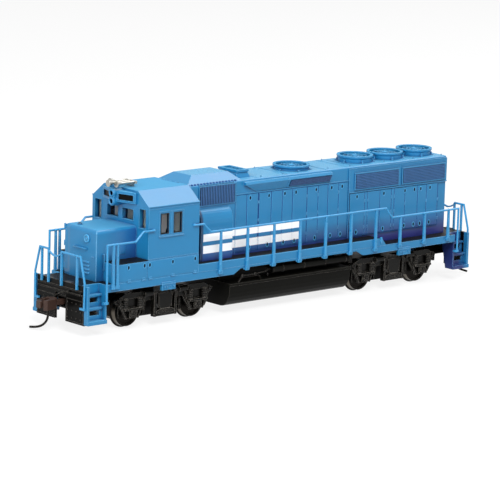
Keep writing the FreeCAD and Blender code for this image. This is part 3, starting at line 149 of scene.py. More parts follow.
# %% [markdown]
# ## Light and floor
# A catalogue picture is lit by broad lamps, so that edges catch a soft line of light and shadows
# stay open. A wide lamp above the left side does most of the work here and a second one fills the
# front. The third hangs above the rear, where the leaning cab roof mirrors it to the camera. The
# pale room only fills the rest. The floor turns white for the camera alone, through the Light
# Path node, so that no extra light falls on the paint.

# %% Lamps
LAMPS = (
    # name, place, size, power
    ("key_lamp", (0.4, 0.75, 0.85), 0.5, 12.6),
    ("front_lamp", (1.2, 0.2, 0.55), 0.5, 8.6),
    ("back_lamp", (-0.78, 0.0, 0.93), 0.7, 7.5),
)
LAMPS_AIM_AT = Vector((0, 0, 0.02))
for name, place, size, power in LAMPS:
    bpy.ops.object.light_add(type="AREA", location=place)
    lamp = bpy.context.object
    lamp.name = name
    lamp.data.size = size
    lamp.data.energy = power
    lamp.rotation_euler = (LAMPS_AIM_AT - lamp.location).to_track_quat("-Z", "Y").to_euler()
print(len(LAMPS), "lamps")

# %% Room and floor
WHITE_LIGHT = (1.0, 1.0, 1.0, 1.0)
ROOM_LIGHT = 0.22
FLOOR_SIZE = 16
FLOOR_GREY = (0.6, 0.6, 0.6, 1.0)
FLOOR_GLOW = 1.2
GLOW_SHARE = 0.7


def seen_directly(tree):
    """One for rays from the camera, and for those that gloss or glass sends on."""
    rays = node_at(tree, "LightPath").outputs
    mirrored = maths(tree, "MAXIMUM", rays["Is Camera Ray"], rays["Is Glossy Ray"])
    return maths(tree, "MAXIMUM", mirrored, rays["Is Transmission Ray"])


world = bpy.data.worlds.new("pale_room")
bpy.context.scene.world = world
world.use_nodes = True
room = world.node_tree
strength = ranged(room, seen_directly(room), 0.0, 1.0, ROOM_LIGHT, 1.0)
feed(room, room.nodes["Background"], {"Color": WHITE_LIGHT, "Strength": strength})

bpy.ops.mesh.primitive_plane_add(size=FLOOR_SIZE)
floor = bpy.context.object
floor.name = "floor"
paper = bpy.data.materials.new("white_paper")
paper.use_nodes = True
sheet = paper.node_tree
sheet.nodes.clear()
matt = node_at(sheet, "BsdfDiffuse", {"Color": FLOOR_GREY}).outputs["BSDF"]
glow = node_at(sheet, "Emission", {"Color": WHITE_LIGHT, "Strength": FLOOR_GLOW})
share = product(sheet, seen_directly(sheet), GLOW_SHARE)
blend = node_at(sheet, "MixShader", {"Fac": share, 1: matt, 2: glow.outputs["Emission"]})
node_at(sheet, "OutputMaterial", {"Surface": blend.outputs["Shader"]})
floor.data.materials.append(paper)
bpy.context.scene.view_settings.view_transform = "Standard"
print("a pale room and a white floor")

# %% [markdown]
# ## What the finishes share
# Four effects turn up in several finishes, so each is a node group that is built once. The first
# rounds every sharp edge for the light alone: moulded parts never have a perfectly sharp corner,
# and the thin bright line along it is what makes a small model look real. It also gives the mask
# where the finishes lay a painted highlight along each edge. The second is the fine grain of
# sprayed paint or moulded plastic, the third the faint dust that settles on top, and the fourth a
# painted shade that darkens narrow gaps, where little light comes in.

# %% Helpers: groups
def open_group(name, **given):
    """Starts a group. A number gives it a plain input, and four numbers a colour."""
    group = bpy.data.node_groups.new(name, "ShaderNodeTree")
    for label, value in given.items():
        kind = "NodeSocketColor" if isinstance(value, tuple) else "NodeSocketFloat"
        socket = group.interface.new_socket(name=label, in_out="INPUT", socket_type=kind)
        socket.default_value = value
    return group, group.nodes.new("NodeGroupInput").outputs


def close_group(group, **results):
    """Ends a group. Each result is the kind of its socket and what feeds it."""
    for label, (kind, _) in results.items():
        group.interface.new_socket(
            name=label, in_out="OUTPUT", socket_type="NodeSocket" + kind)
    outlet = group.nodes.new("NodeGroupOutput")
    feed(group, outlet, {label: source for label, (_, source) in results.items()})
    print("group", group.name)


def use_group(tree, group, **values):
    return node_at(tree, "Group", values, node_tree=group).outputs


print("group helpers")

# %% Group: soft edges
EDGE_STARTS = 0.99
EDGE_FULL = 0.8
soft_edges, given = open_group("soft_edges", Radius=0.00015)
rounded = node_at(soft_edges, "Bevel", {"Radius": given["Radius"]}, samples=4).outputs["Normal"]
flat = node_at(soft_edges, "NewGeometry").outputs["True Normal"]
likeness = node_at(soft_edges, "VectorMath", {0: rounded, 1: flat}, operation="DOT_PRODUCT")
# The mask of the rounded edges, where the finishes paint a highlight.
edge_highlight = ranged(soft_edges, likeness.outputs["Value"], EDGE_STARTS, EDGE_FULL)
close_group(soft_edges, Normal=("Vector", rounded), Edge=("Float", edge_highlight))

# %% Group: fine grain
CLOUD_SCALE = 180.0
fine_grain, given = open_group("fine_grain", Size=0.0002, Roughness=0.4, Spread=0.08)
grain = noise(fine_grain, maths(fine_grain, "DIVIDE", 1.0, given["Size"]), 3.0)
cloud = noise(fine_grain, CLOUD_SCALE, 4.0)
sway = maths(fine_grain, "SUBTRACT", cloud, 0.5)
uneven = maths(fine_grain, "MULTIPLY_ADD", sway, given["Spread"], given["Roughness"])
close_group(fine_grain, Height=("Float", grain), Roughness=("Float", uneven),
            Cloud=("Float", cloud))

# %% Group: settled dust
SPECK_SCALE = 900.0
SPECKS = (0.35, 0.75)
DUSTY_ABOVE = 0.2
settled_dust, given = open_group(
    "settled_dust", Colour=(0.1, 0.1, 0.1, 1.0), Dust=(0.3, 0.28, 0.25, 1.0), Amount=0.1)
upward = ranged(settled_dust, facing(settled_dust, "Normal")[2], DUSTY_ABOVE, 1.0)
patches = ranged(settled_dust, noise(settled_dust, SPECK_SCALE, 6.0), *SPECKS)
amount = product(settled_dust, upward, patches, given["Amount"])
dusted = mix_colours(settled_dust, amount, given["Colour"], given["Dust"])
close_group(settled_dust, Colour=("Color", dusted))

# %% Group: painted gap shade
GAP_OPEN = 0.75
GAP_SHUT = 0.2
painted_gap_shade, given = open_group(
    "painted_gap_shade", Colour=(0.1, 0.1, 0.1, 1.0), Deep=(0.02, 0.02, 0.05, 1.0), Reach=0.0012,
    Amount=0.8)
open_sky = node_at(painted_gap_shade, "AmbientOcclusion", {"Distance": given["Reach"]}, samples=6)
closed = ranged(painted_gap_shade, open_sky.outputs["AO"], GAP_OPEN, GAP_SHUT)
amount = product(painted_gap_shade, closed, given["Amount"])
deepened = mix_colours(painted_gap_shade, amount, given["Colour"], given["Deep"])
close_group(painted_gap_shade, Colour=("Color", deepened))

# %% [markdown]
# ## Paint, plastic and metal
# The body shell is sprayed in one bright blue, and everything below the walkways is black plastic.
# A flat colour would look like a toy block, so every finish here starts from the same recipe: soft
# edges, a fine grain in height and in gloss, a painted highlight that makes the colour lighter
# along each edge, a breath of dust and a painted shade in narrow gaps. Only the numbers differ.

# %% A recipe for opaque finishes
FINISHES = {}
# A paler blue painted on level faces, as painted light from above.
TOP_LIGHT_BLUE = (0.13, 0.5, 0.78, 1.0)
NEARLY_LEVEL = (0.85, 0.97)
CLOUD_SHADE = 0.9


def solid(colour):
    return tuple(colour) + (1.0,)


def new_finish(name):
    """Starts a material, and files it under its name."""
    material = bpy.data.materials.new(name)
    material.use_nodes = True
    FINISHES[name] = material
    return material.node_tree


def opaque(name, colour, roughness, metallic=0.0, grain=0.00018, depth=0.000006, spread=0.08,
           edge_highlight=None, edge_highlight_amount=0.3, dust=0.06, radius=0.00013, gloss=0.5, gap_shade=0.9,
           gap_shade_colour=(0.001, 0.001, 0.001), reach=0.0018, pattern=None, relief=None, top_light_and_matt=None):
    """A finish with soft edges, grain and dust, a painted highlight along its edges and a painted
    shade in its gaps. Pattern adds to its colour, relief to its height. The last argument says how
    much paler the level faces are painted, as painted light from above, and how much more matt
    they are."""
    tree = new_finish(name)
    corners = use_group(tree, soft_edges, Radius=radius)
    surface = use_group(tree, fine_grain, Size=grain, Roughness=roughness, Spread=spread)
    darker = solid(c * CLOUD_SHADE for c in colour)
    paint = mix_colours(tree, surface["Cloud"], darker, solid(colour))
    rough = surface["Roughness"]
    # Level faces are painted paler, as painted light from above, and made more matt.
    if top_light_and_matt:
        level = ranged(tree, facing(tree, "Normal")[2], *NEARLY_LEVEL)
        paint = mix_colours(tree, product(tree, level, top_light_and_matt[0]), paint, TOP_LIGHT_BLUE)
        rough = maths(tree, "MULTIPLY_ADD", level, top_light_and_matt[1], rough)
    if pattern:
        paint = pattern(tree, paint)
    # A painted highlight: a lighter colour along every rounded edge.
    edge_highlight = edge_highlight or [min(1.0, c * 1.5 + 0.03) for c in colour]
    rim = product(tree, corners["Edge"], edge_highlight_amount)
    paint = mix_colours(tree, rim, paint, solid(edge_highlight))
    paint = use_group(tree, settled_dust, Colour=paint, Amount=dust)["Colour"]
    # A painted shade darkens narrow gaps and recesses, where little light comes in.
    paint = use_group(
        tree, painted_gap_shade, Colour=paint, Deep=solid(gap_shade_colour), Amount=gap_shade, Reach=reach)["Colour"]
    bumps = {"Height": surface["Height"], "Distance": depth, "Normal": corners["Normal"]}
    normal = node_at(tree, "Bump", bumps).outputs["Normal"]
    if relief:
        normal = relief(tree, normal)
    feed(tree, tree.nodes["Principled BSDF"], {
        "Base Color": paint, "Roughness": rough, "Metallic": metallic,
        "Specular IOR Level": gloss, "Normal": normal})


print("the recipe is ready")

# %% [markdown]
# ## Two white stripes
# Two stripes run back from the cab along both sides, over the blower duct and the hood doors.
# They could be thin white plates, but paint has no thickness that shows. A mask on the object's
# own coordinates does it: white where the height lies in a band and the length lies in its span.
# Its edges follow the same numbers on the duct, the hood and each door, so they meet. The same
# kind of mask darkens the paint low on the hood, behind the cab and beside the nose, where
# hardly any light comes.

# %% The stripes as a mask
WHITE = (0.98, 0.985, 1.0, 1.0)
STRIPES = ((29.7, 32.6), (25.1, 28.1))
STRIPE_FRONT = 41.2
STRIPE_REAR = -11.6
STRIPE_OUT = 9.5


def between(tree, value, low, high):
    """One between two sizes in millimetres, nought outside them."""
    over = maths(tree, "GREATER_THAN", value, low * MM)
    return product(tree, over, maths(tree, "LESS_THAN", value, high * MM))


def beyond(tree, value, limit):
    """One where a value is past a limit on either side of nought."""
    return maths(tree, "GREATER_THAN", maths(tree, "ABSOLUTE", value), limit)


def striped(tree, paint):
    """Lays the white stripes over a paint colour, on both sides of the hood."""
    along, across, height = axes(tree, place_on(tree))
    bands = [between(tree, height, low, high) for low, high in STRIPES]
    mask = product(tree, maths(tree, "MAXIMUM", *bands), beyond(tree, across, STRIPE_OUT * MM),
                   between(tree, along, STRIPE_REAR, STRIPE_FRONT))
    return mix_colours(tree, mask, paint, WHITE)


print(len(STRIPES), "stripes")

# %% Shaded paint
SHADE_TOP = 29.5
SHADE_FULL = 21.3
SHADE_BLUE = (0.021, 0.028, 0.19, 1.0)
BEHIND_CAB = (STRIPE_FRONT - 0.3, STRIPE_FRONT + 0.7)
# Where the painted shadow behind the cab ends, and its colour.
CAB_SHADOW_TOP = 42.4
CAB_SHADOW_BLUE = (0.006, 0.01, 0.045, 1.0)
STEP_INSIDE = (-98.5, -95.0)
INNER_BLUE = (0.014, 0.02, 0.13, 1.0)
NOSE_SIDE = (86.0, 73.0)
NOSE_SHADE = (0.012, 0.05, 0.25, 1.0)


def shaded_along(tree, span, most):
    """A shade that grows to its most from the first to the second size in a span."""
    start, end = span
    return ranged(tree, axes(tree, place_on(tree))[0], start * MM, end * MM, 0.0, most)


def stripes_and_painted_shade(tree, paint):
    """The hood's paint: a painted shade near the walkway and a painted shadow behind the cab, with
    the stripes on top.
    """
    _, across, height = axes(tree, place_on(tree))
    low = ranged(tree, height, SHADE_TOP * MM, SHADE_FULL * MM)
    painted = striped(tree, mix_colours(tree, low, paint, SHADE_BLUE))
    # The painted shadow behind the cab, on the hood's sides below the top of the duct.
    corner = product(tree, shaded_along(tree, BEHIND_CAB, 0.9),
                     beyond(tree, across, STRIPE_OUT * MM),
                     maths(tree, "LESS_THAN", height, CAB_SHADOW_TOP * MM))
    return mix_colours(tree, corner, painted, CAB_SHADOW_BLUE)


def shaded_inside(tree, paint):
    """Darkens the plate on the inner side of the rear steps, where no lamp reaches."""
    return mix_colours(tree, shaded_along(tree, STEP_INSIDE, 0.95), paint, INNER_BLUE)


def nose_shade(tree, paint):
    """Darkens the sides of the nose towards the cab, which shades them."""
    upright = maths(tree, "LESS_THAN", facing(tree)[2], 0.5)
    side = product(tree, shaded_along(tree, NOSE_SIDE, 0.55), upright)
    return mix_colours(tree, side, paint, NOSE_SHADE)


print("shaded paint")

# %% [markdown]
# ## Tread plate
# The walkways, the battery box tops and the hood roof carry a fine raised tread. Hundreds of
# thousands of real bumps would be heavy and too small to see one by one, so the tread is a relief
# in the finish: a square grid of round dots, larger on the roof and finer on the walkways.

# %% Tread relief
def dotted(pitch, size, depth):
    """A relief of round dots on a square grid, on the faces that look up."""
    def relief(tree, normal):
        squares = []
        for value in axes(tree, place_on(tree))[:2]:
            squares.append(maths(tree, "POWER", maths(tree, "PINGPONG", value, pitch / 2), 2.0))
        dome = ranged(tree, maths(tree, "ADD", *squares), size * size, 0.0)
        level = maths(tree, "GREATER_THAN", facing(tree)[2], 0.9)
        bumps = {"Height": product(tree, dome, level), "Distance": depth, "Normal": normal}
        return node_at(tree, "Bump", bumps).outputs["Normal"]
    return relief


roof_tread = dotted(0.0011, 0.00033, 0.0003)
walk_tread = dotted(0.0009, 0.0003, 0.00015)
print("tread relief is ready")

# %% Blue finishes
BLUE = (0.012, 0.195, 0.42)
# The colour of the painted highlight along the edges of blue finishes.
HIGHLIGHT_BLUE = (0.2, 0.52, 0.82)
# The colour of the painted shade in the gaps of blue finishes.
GAP_SHADE_BLUE = (0.012, 0.025, 0.14)
SPRAYED = {"edge_highlight": HIGHLIGHT_BLUE, "edge_highlight_amount": 0.75, "dust": 0.02, "gloss": 0.45,
           "radius": 0.0002, "gap_shade_colour": GAP_SHADE_BLUE}
TRIM = {"edge_highlight_amount": 0.0, "dust": 0.0, "gap_shade_colour": GAP_SHADE_BLUE, "pattern": striped}
opaque("body_blue", BLUE, 0.33, top_light_and_matt=(0.35, 0.5), **SPRAYED)
opaque("hood_blue", BLUE, 0.33, pattern=stripes_and_painted_shade, relief=roof_tread, top_light_and_matt=(0.5, 0.12), **SPRAYED)
opaque("shade_blue", BLUE, 0.33, pattern=nose_shade, **SPRAYED)
# The nose's painted gap shade reaches far, so its corners by the cab and the walkway darken.
opaque("nose_blue", BLUE, 0.3, pattern=nose_shade, top_light_and_matt=(0.33, 0.45), gap_shade=0.75, reach=0.009,
       **(SPRAYED | {"edge_highlight_amount": 0.95, "radius": 0.0007}))
opaque("step_blue", BLUE, 0.33, pattern=shaded_inside, **(SPRAYED | {"gloss": 0.4}))
# The rails keep their own blue, made lighter than the body's by a painted highlight, as thin rods
# catch the light.
opaque("rail_highlight_blue", (0.03, 0.27, 0.55), 0.28, edge_highlight=HIGHLIGHT_BLUE, edge_highlight_amount=0.6, dust=0.0,
       gap_shade_colour=GAP_SHADE_BLUE, gap_shade=0.3)
opaque("seam_blue", (0.012, 0.08, 0.26), 0.5, gloss=0.2, **TRIM)
# Latch rings and the nose boss get a paler blue, a painted highlight on raised rings that catch
# the light.
opaque("latch_highlight_blue", (0.05, 0.34, 0.64), 0.33, **TRIM)
print(len(FINISHES), "blue finishes")

# %% Black finishes
opaque("slot_black", (0.003, 0.003, 0.008), 0.5, edge_highlight_amount=0.0, dust=0.0, gloss=0.1)
opaque("black_plastic", (0.002, 0.002, 0.0018), 0.3, spread=0.16, edge_highlight=(0.2, 0.185, 0.165),
       edge_highlight_amount=0.9, dust=0.006, gloss=0.08, radius=0.0002, gap_shade=1.0, reach=0.0035)
opaque("frame_grey", (0.005, 0.0048, 0.004), 0.28, spread=0.16, edge_highlight=(0.34, 0.31, 0.27),
       edge_highlight_amount=0.9, dust=0.008, gloss=0.14, radius=0.00022, gap_shade=1.0, reach=0.0035)
opaque("tank_black", (0.0045, 0.0045, 0.0036), 0.36, spread=0.12, edge_highlight=(0.1, 0.095, 0.08),
       edge_highlight_amount=0.7, dust=0.006, gloss=0.06, radius=0.00025)
opaque("walkway_black", (0.0045, 0.0042, 0.004), 0.45, spread=0.16, edge_highlight=(0.05, 0.047, 0.042),
       edge_highlight_amount=0.6, dust=0.01, gloss=0.1, relief=walk_tread)
print("black finishes")

# %% Metal, grille and lining finishes
WHEEL_BLACK = (0.01, 0.009, 0.008, 1.0)


def black_faced(tree, metal):
    """Blackens the faces that look sideways, so that only a wheel's tread and rim stay bright."""
    return mix_colours(tree, beyond(tree, facing(tree)[1], 0.4), metal, WHEEL_BLACK)


opaque("wheel_metal", (0.13, 0.115, 0.095), 0.34, metallic=1.0, grain=0.0004, depth=0.000004,
       spread=0.2, edge_highlight=(0.2, 0.18, 0.16), dust=0.02, edge_highlight_amount=0.15, pattern=black_faced)
opaque("weight_metal", (0.1, 0.1, 0.105), 0.55, metallic=1.0, dust=0.1)
opaque("coupler_brown", (0.045, 0.024, 0.018), 0.42, grain=0.0003, depth=0.000012, spread=0.2,
       edge_highlight=(0.16, 0.09, 0.07), edge_highlight_amount=0.5, gloss=0.3)
opaque("pin_steel", (0.02, 0.018, 0.016), 0.34, metallic=1.0, edge_highlight_amount=0.1)
opaque("horn_silver", (0.46, 0.45, 0.41), 0.3, metallic=1.0, grain=0.00025, depth=0.000008,
       spread=0.15, edge_highlight=(0.9, 0.9, 0.86), dust=0.0)
opaque("grille_dark", (0.02, 0.028, 0.085), 0.5, edge_highlight=(0.05, 0.08, 0.2), edge_highlight_amount=0.4,
       dust=0.03, gloss=0.2)
opaque("grille_blue", (0.05, 0.15, 0.36), 0.4, edge_highlight=(0.12, 0.3, 0.6), edge_highlight_amount=0.5,
       dust=0.03, gloss=0.3)
opaque("cab_grey", (0.93, 0.97, 0.98), 0.5, dust=0.02, gap_shade_colour=(0.05, 0.05, 0.04))
print(len(FINISHES), "finishes so far")

# %% [markdown]
# ## Clear plastic
# Windows and lenses are clear plastic. Glass needs its Transmission and Metallic as plain
# numbers, so only its roughness varies, with faint smears that catch the light.

# %% Clear finishes
SMEAR_SIZE = 0.0009


def clear(name, colour, roughness, ior):
    tree = new_finish(name)
    smears = use_group(tree, fine_grain, Size=SMEAR_SIZE, Roughness=roughness, Spread=0.05)
    feed(tree, tree.nodes["Principled BSDF"], {
        "Base Color": solid(colour), "Transmission Weight": 1.0, "IOR": ior,
        "Roughness": smears["Roughness"]})


clear("window_clear", (0.97, 0.98, 0.96), 0.04, 1.12)
clear("lens_clear", (0.95, 0.93, 0.85), 0.06, 1.4)
print("clear finishes")

# %% Finishes on the frame's own solids
OWN_FINISH = {
    "walkway_black": ("walkway_deck", "raised_walkway", "battery_treads"),
    "hood_blue": ("long_hood", "blower_duct"),
    "rail_highlight_blue": ("handrail_left", "handrail_right", "end_rail_front", "end_rail_rear"),
    "nose_blue": ("short_hood",),
    "step_blue": ("steps_rear_left", "steps_rear_right"),
    "frame_grey": ("sideframe_front_left", "sideframe_front_right", "sideframe_rear_left",
                   "sideframe_rear_right"),
    "tank_black": ("fuel_tank", "air_reservoirs"),
}
finish_of = {node: finish for finish, nodes in OWN_FINISH.items() for node in nodes}
for part in frame["record"]["subparts"]:
    mesh = frame["nodes"][part["node"]].data
    mesh.materials.clear()
    mesh.materials.append(FINISHES[finish_of.get(part["node"], part["material_slot"])])

# %% [markdown]
# ## A few helpers for modelling
# Every added piece starts as a primitive of the right size, is shaped in edit mode, and gets its
# corners from a bevel. An operator acts on all that is selected, so each helper first deselects
# everything and then picks its own object, face or edge by its place. Sizes are in millimetres.

# %% Helpers: primitives
def select_only(*things):
    bpy.ops.object.select_all(action="DESELECT")
    for thing in things:
        thing.select_set(True)
    bpy.context.view_layer.objects.active = things[-1]


def settle(thing):
    """Puts the object's place, turn and size into its mesh."""
    select_only(thing)
    bpy.ops.object.transform_apply(location=True, rotation=True, scale=True)
    return thing


def fresh(add, place, **settings):
    """Adds a primitive at a place, with nothing else selected."""
    bpy.ops.object.select_all(action="DESELECT")
    add(location=[p * MM for p in place], **settings)
    return settle(bpy.context.object)


def block(x, y, z):
    """A box between a low and a high size along each axis."""
    middle = [(low + high) / 2 for low, high in (x, y, z)]
    size = [(high - low) * MM for low, high in (x, y, z)]
    return fresh(bpy.ops.mesh.primitive_cube_add, middle, size=1, scale=size)


def about(middle, half):
    return middle - half, middle + half


def on(face, proud, sunk=0.05):
    """From a little inside a face to as far as a part stands out from it."""
    return face - sunk, face + proud


AXIS_TURNS = {"x": (0, math.pi / 2, 0), "y": (-math.pi / 2, 0, 0), "z": (0, 0, 0)}


def post(axis, radius, low, high, centre, sides=20):
    """A cylinder along an axis, centred on the two other sizes."""
    middle = list(centre)
    middle.insert("xyz".index(axis), (low + high) / 2)
    return fresh(bpy.ops.mesh.primitive_cylinder_add, middle, vertices=sides,
                 radius=radius * MM, depth=(high - low) * MM, rotation=AXIS_TURNS[axis])


def ring(axis, radius, wire, place, sides=32, wire_sides=8):
    """A ring of round wire about an axis."""
    return fresh(bpy.ops.mesh.primitive_torus_add, place, major_segments=sides,
                 minor_segments=wire_sides, major_radius=radius * MM, minor_radius=wire * MM,
                 rotation=AXIS_TURNS[axis])


print("primitives")

# %% Helpers: edit mode
def edit(thing, kind):
    select_only(thing)
    bpy.ops.object.mode_set(mode="EDIT")
    bpy.ops.mesh.select_mode(type=kind)
    bpy.ops.mesh.select_all(action="DESELECT")
    return bmesh.from_edit_mesh(thing.data)


def leave(thing):
    bpy.ops.object.mode_set(mode="OBJECT")
    return thing


def open_faces(thing, test):
    """Opens edit mode with the faces selected whose middle and normal pass a test."""
    for face in edit(thing, "FACE").faces:
        if test(face.calc_center_median() / MM, face.normal):
            face.select_set(True)
    bmesh.update_edit_mesh(thing.data)


def inset(thing, test, thickness, depth=0.0):
    """Insets the picked faces, and raises or sinks them by a depth."""
    open_faces(thing, test)
    bpy.ops.mesh.inset(thickness=thickness * MM, depth=depth * MM)
    return leave(thing)


def shrink(thing, test, factor):
    """Scales the picked faces about their own middle."""
    open_faces(thing, test)
    bpy.ops.transform.resize(value=factor)
    return leave(thing)


def pull(thing, test, move):
    """Moves the points that pass a test of their place."""
    for point in edit(thing, "VERT").verts:
        point.select_set(test(point.co / MM))
    bmesh.update_edit_mesh(thing.data)
    bpy.ops.transform.translate(value=[m * MM for m in move])
    return leave(thing)


def outer(middle, normal):
    return normal.y > 0.9


def upper(middle, normal):
    return normal.z > 0.9


def every(middle, normal):
    return True


print("edit mode")

# %% Helpers: modifiers
BEVEL_ABOVE = math.radians(30)
SMOOTH_BELOW = math.radians(35)


def apply_modifier(thing, kind, **settings):
    select_only(thing)
    modifier = thing.modifiers.new(kind.lower(), kind)
    for key, value in settings.items():
        setattr(modifier, key, value)
    bpy.ops.object.modifier_apply(modifier=modifier.name)
    return thing


def bevel(thing, width, segments=1):
    return apply_modifier(thing, "BEVEL", width=width * MM, segments=segments,
                          limit_method="ANGLE", angle_limit=BEVEL_ABOVE)


def row(thing, count, step):
    """Repeats a piece in a straight row."""
    return apply_modifier(thing, "ARRAY", count=count, use_relative_offset=False,
                          use_constant_offset=True,
                          constant_offset_displace=[s * MM for s in step])


def both_sides(thing):
    """Adds the mirror image on the locomotive's other side."""
    return apply_modifier(thing, "MIRROR", use_axis=(False, True, False), use_mirror_merge=False)


def both_ends(thing):
    """Adds the mirror image at the locomotive's other end."""
    return apply_modifier(thing, "MIRROR", use_axis=(True, False, False), use_mirror_merge=False)


print("modifiers")

# %% Helpers: moves, turns and copies
def join(parts):
    select_only(*parts)
    if len(parts) > 1:
        bpy.ops.object.join()
    return bpy.context.object


def copy_of(thing):
    select_only(thing)
    bpy.ops.object.duplicate(linked=False)
    return bpy.context.object


def moved(thing, move):
    thing.location = [m * MM for m in move]
    return settle(thing)


def turned(thing, axis, degrees, point=(0, 0, 0)):
    """Turns a piece about a line along an axis through a point."""
    spot = Vector(point) * MM
    turn = Matrix.Rotation(math.radians(degrees), 4, axis)
    thing.matrix_world = Matrix.Translation(spot) @ turn @ Matrix.Translation(-spot)
    return settle(thing)


def at_each(thing, moves):
    """Moves copies of a piece to several places, and joins them; the first is used up."""
    parts = [moved(copy_of(thing), move) for move in moves]
    bpy.data.objects.remove(thing)
    return join(parts)


def turned_copies(thing, count, x):
    """Copies of a piece spaced evenly round an upright line over the middle."""
    copies = [turned(copy_of(thing), "Z", 360 * i / count, (x, 0, 0)) for i in range(1, count)]
    return join([thing] + copies)


def smooth(thing):
    select_only(thing)
    bpy.ops.object.shade_smooth_by_angle(angle=SMOOTH_BELOW)
    return thing


print("moves, turns and copies")

# %% [markdown]
# A finished piece gets a name, a finish and the body that it rides on. Most pieces are part of the
# blue shell, so the blue finish is the one they get unless another is named.


def piece(thing, name, finish="body_blue", body="body"):
    thing.name = name
    thing.data.name = name
    thing.data.materials.clear()
    thing.data.materials.append(FINISHES[finish])
    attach(thing, body)
    print(name, len(thing.data.polygons), "faces")
    return thing


print("finished pieces")

# %% [markdown]
# Four small shapes turn up all over the locomotive: a slab with softened edges, a thin panel
# with a rim, a hinge barrel with stepped ends and a bolt head with a chamfered crown.

# %% Helpers: slabs, panels, barrels and bolts
def slab(x, y, z, soft, segments=1):
    return bevel(block(x, y, z), soft, segments)


def panel(x, y, z, rim, rise, soft=0.05):
    """A thin panel that looks outwards, its middle raised or sunk within a rim."""
    return bevel(inset(block(x, y, z), outer, rim, rise), soft)


def barrel(axis, radius, low, high, centre, sides, rim, rise):
    way = "xyz".index(axis)
    shape = post(axis, radius, low, high, centre, sides)
    return inset(shape, lambda c, n: abs(n[way]) > 0.9, rim, rise)


def bolt(axis, radius, low, high, centre=(0, 0), sides=6):
    way = "xyz".index(axis)
    shape = post(axis, radius, low, high, centre, sides)
    return inset(shape, lambda c, n: n[way] > 0.9, radius * 0.25, radius * 0.2)


print("slabs, panels, barrels and bolts")

# %% [markdown]
# ## Hood doors
# The long hood's sides are rows of tall service doors. On the model each door is a very thin
# raised panel, and what the eye reads is the dark line between two of them. Grooves could be cut
# into the hood, but the frame's meshes stay as they are, so each door is a thin bevelled panel,
# and the gaps between the panels are the grooves.

# %% Hood doors
HOOD_SIDE = 10.2
RADIATOR_SIDE = 10.7
DOOR_FOOT = 23.3
DOOR_GAP = 0.07
DOOR_PROUD = 0.13
ENGINE_DOORS = (
    # front and rear edge
    (22.7, 17.3), (17.1, 11.5), (10.8, 4.7), (4.5, -1.0), (-1.2, -6.3), (-6.5, -13.9),
    (-14.2, -19.8), (-20.0, -25.0), (-25.2, -30.7), (-30.9, -35.9),
)
RADIATOR_DOORS = (
    (-36.6, -44.6), (-44.8, -46.2), (-46.4, -52.9), (-53.1, -59.3), (-59.5, -60.9),
    (-61.1, -66.8), (-67.0, -73.9), (-74.1, -78.9), (-79.1, -85.2),
)


def doors(edges, face, top):
    panels = []
    for front, rear in edges:
        panels.append(panel((rear + DOOR_GAP, front - DOOR_GAP), on(face, DOOR_PROUD),
                            (DOOR_FOOT, top), 0.3, 0.05))
    return both_sides(join(panels))


piece(doors(ENGINE_DOORS, HOOD_SIDE, 45.3), "engine_doors", "hood_blue")
piece(doors(RADIATOR_DOORS, RADIATOR_SIDE, 40.4), "radiator_doors", "hood_blue")

# %% [markdown]
# ## Seams
# A thin darker strip lies at the bottom of each gap between the doors, a little below the doors'
# own faces, so that every seam reads as one line.

# %% Seams
SEAM_PROUD = 0.08


def strip(x, z, face, rim):
    return inset(block(x, on(face, SEAM_PROUD), z), outer, rim, -0.02)


def upright_seam(x, face, top):
    return strip(about(x, 0.17), (23.0, top), face, 0.06)


def level_seam(front, rear, face, height):
    return strip((rear, front), about(height, 0.13), face, 0.05)


seams = [upright_seam(rear - 0.1, HOOD_SIDE, 45.4) for _, rear in ENGINE_DOORS[:-1]]
seams += [upright_seam(x, HOOD_SIDE, 45.4) for x in (10.95, 22.95)]
seams += [upright_seam(rear - 0.1, RADIATOR_SIDE, 40.5) for _, rear in RADIATOR_DOORS]
seams += [level_seam(22.9, -36.0, HOOD_SIDE, 45.45), level_seam(22.9, -36.0, HOOD_SIDE, 23.1),
          level_seam(-36.5, -85.4, RADIATOR_SIDE, 23.1)]
piece(both_sides(join(seams)), "door_seams", "seam_blue")

# %% [markdown]
# ## Hinges and latches
# The doors hang in pairs on small barrel hinges, and each is held shut by latches at its top and
# bottom. A latch is an oval ring with a dark slot in it. One hinge and one latch are modelled and
# then copied to every place.

# %% Hinges
HINGES = (
    # x, face, heights
    (11.1, HOOD_SIDE, (41.9, 34.8, 27.2)),
    (-14.05, HOOD_SIDE, (41.8, 34.8, 26.9)),
    (-19.9, HOOD_SIDE, (41.8, 34.8, 26.9)),
    (-30.8, HOOD_SIDE, (41.8, 34.8, 27.6)),
    (-44.7, RADIATOR_SIDE, (37.0, 31.5, 26.4)),
    (-46.4, RADIATOR_SIDE, (37.0, 31.5, 26.4)),
    (-59.4, RADIATOR_SIDE, (37.2, 31.3, 25.5)),
    (-60.9, RADIATOR_SIDE, (37.2, 31.3, 25.5)),
    (-66.9, RADIATOR_SIDE, (33.8, 27.0)),
    (-79.0, RADIATOR_SIDE, (33.8, 27.0)),
    (-85.4, RADIATOR_SIDE, (33.8, 26.0)),
)
hinge = join([
    slab((-0.42, 0.42), (-0.05, 0.16), (-0.45, 0.45), 0.06),
    barrel("z", 0.17, -0.62, 0.62, (0, 0.17), 10, 0.05, 0.06),
])
hinges = at_each(hinge, [(x, face, z) for x, face, heights in HINGES for z in heights])
piece(smooth(both_sides(hinges)), "door_hinges", "hood_blue")

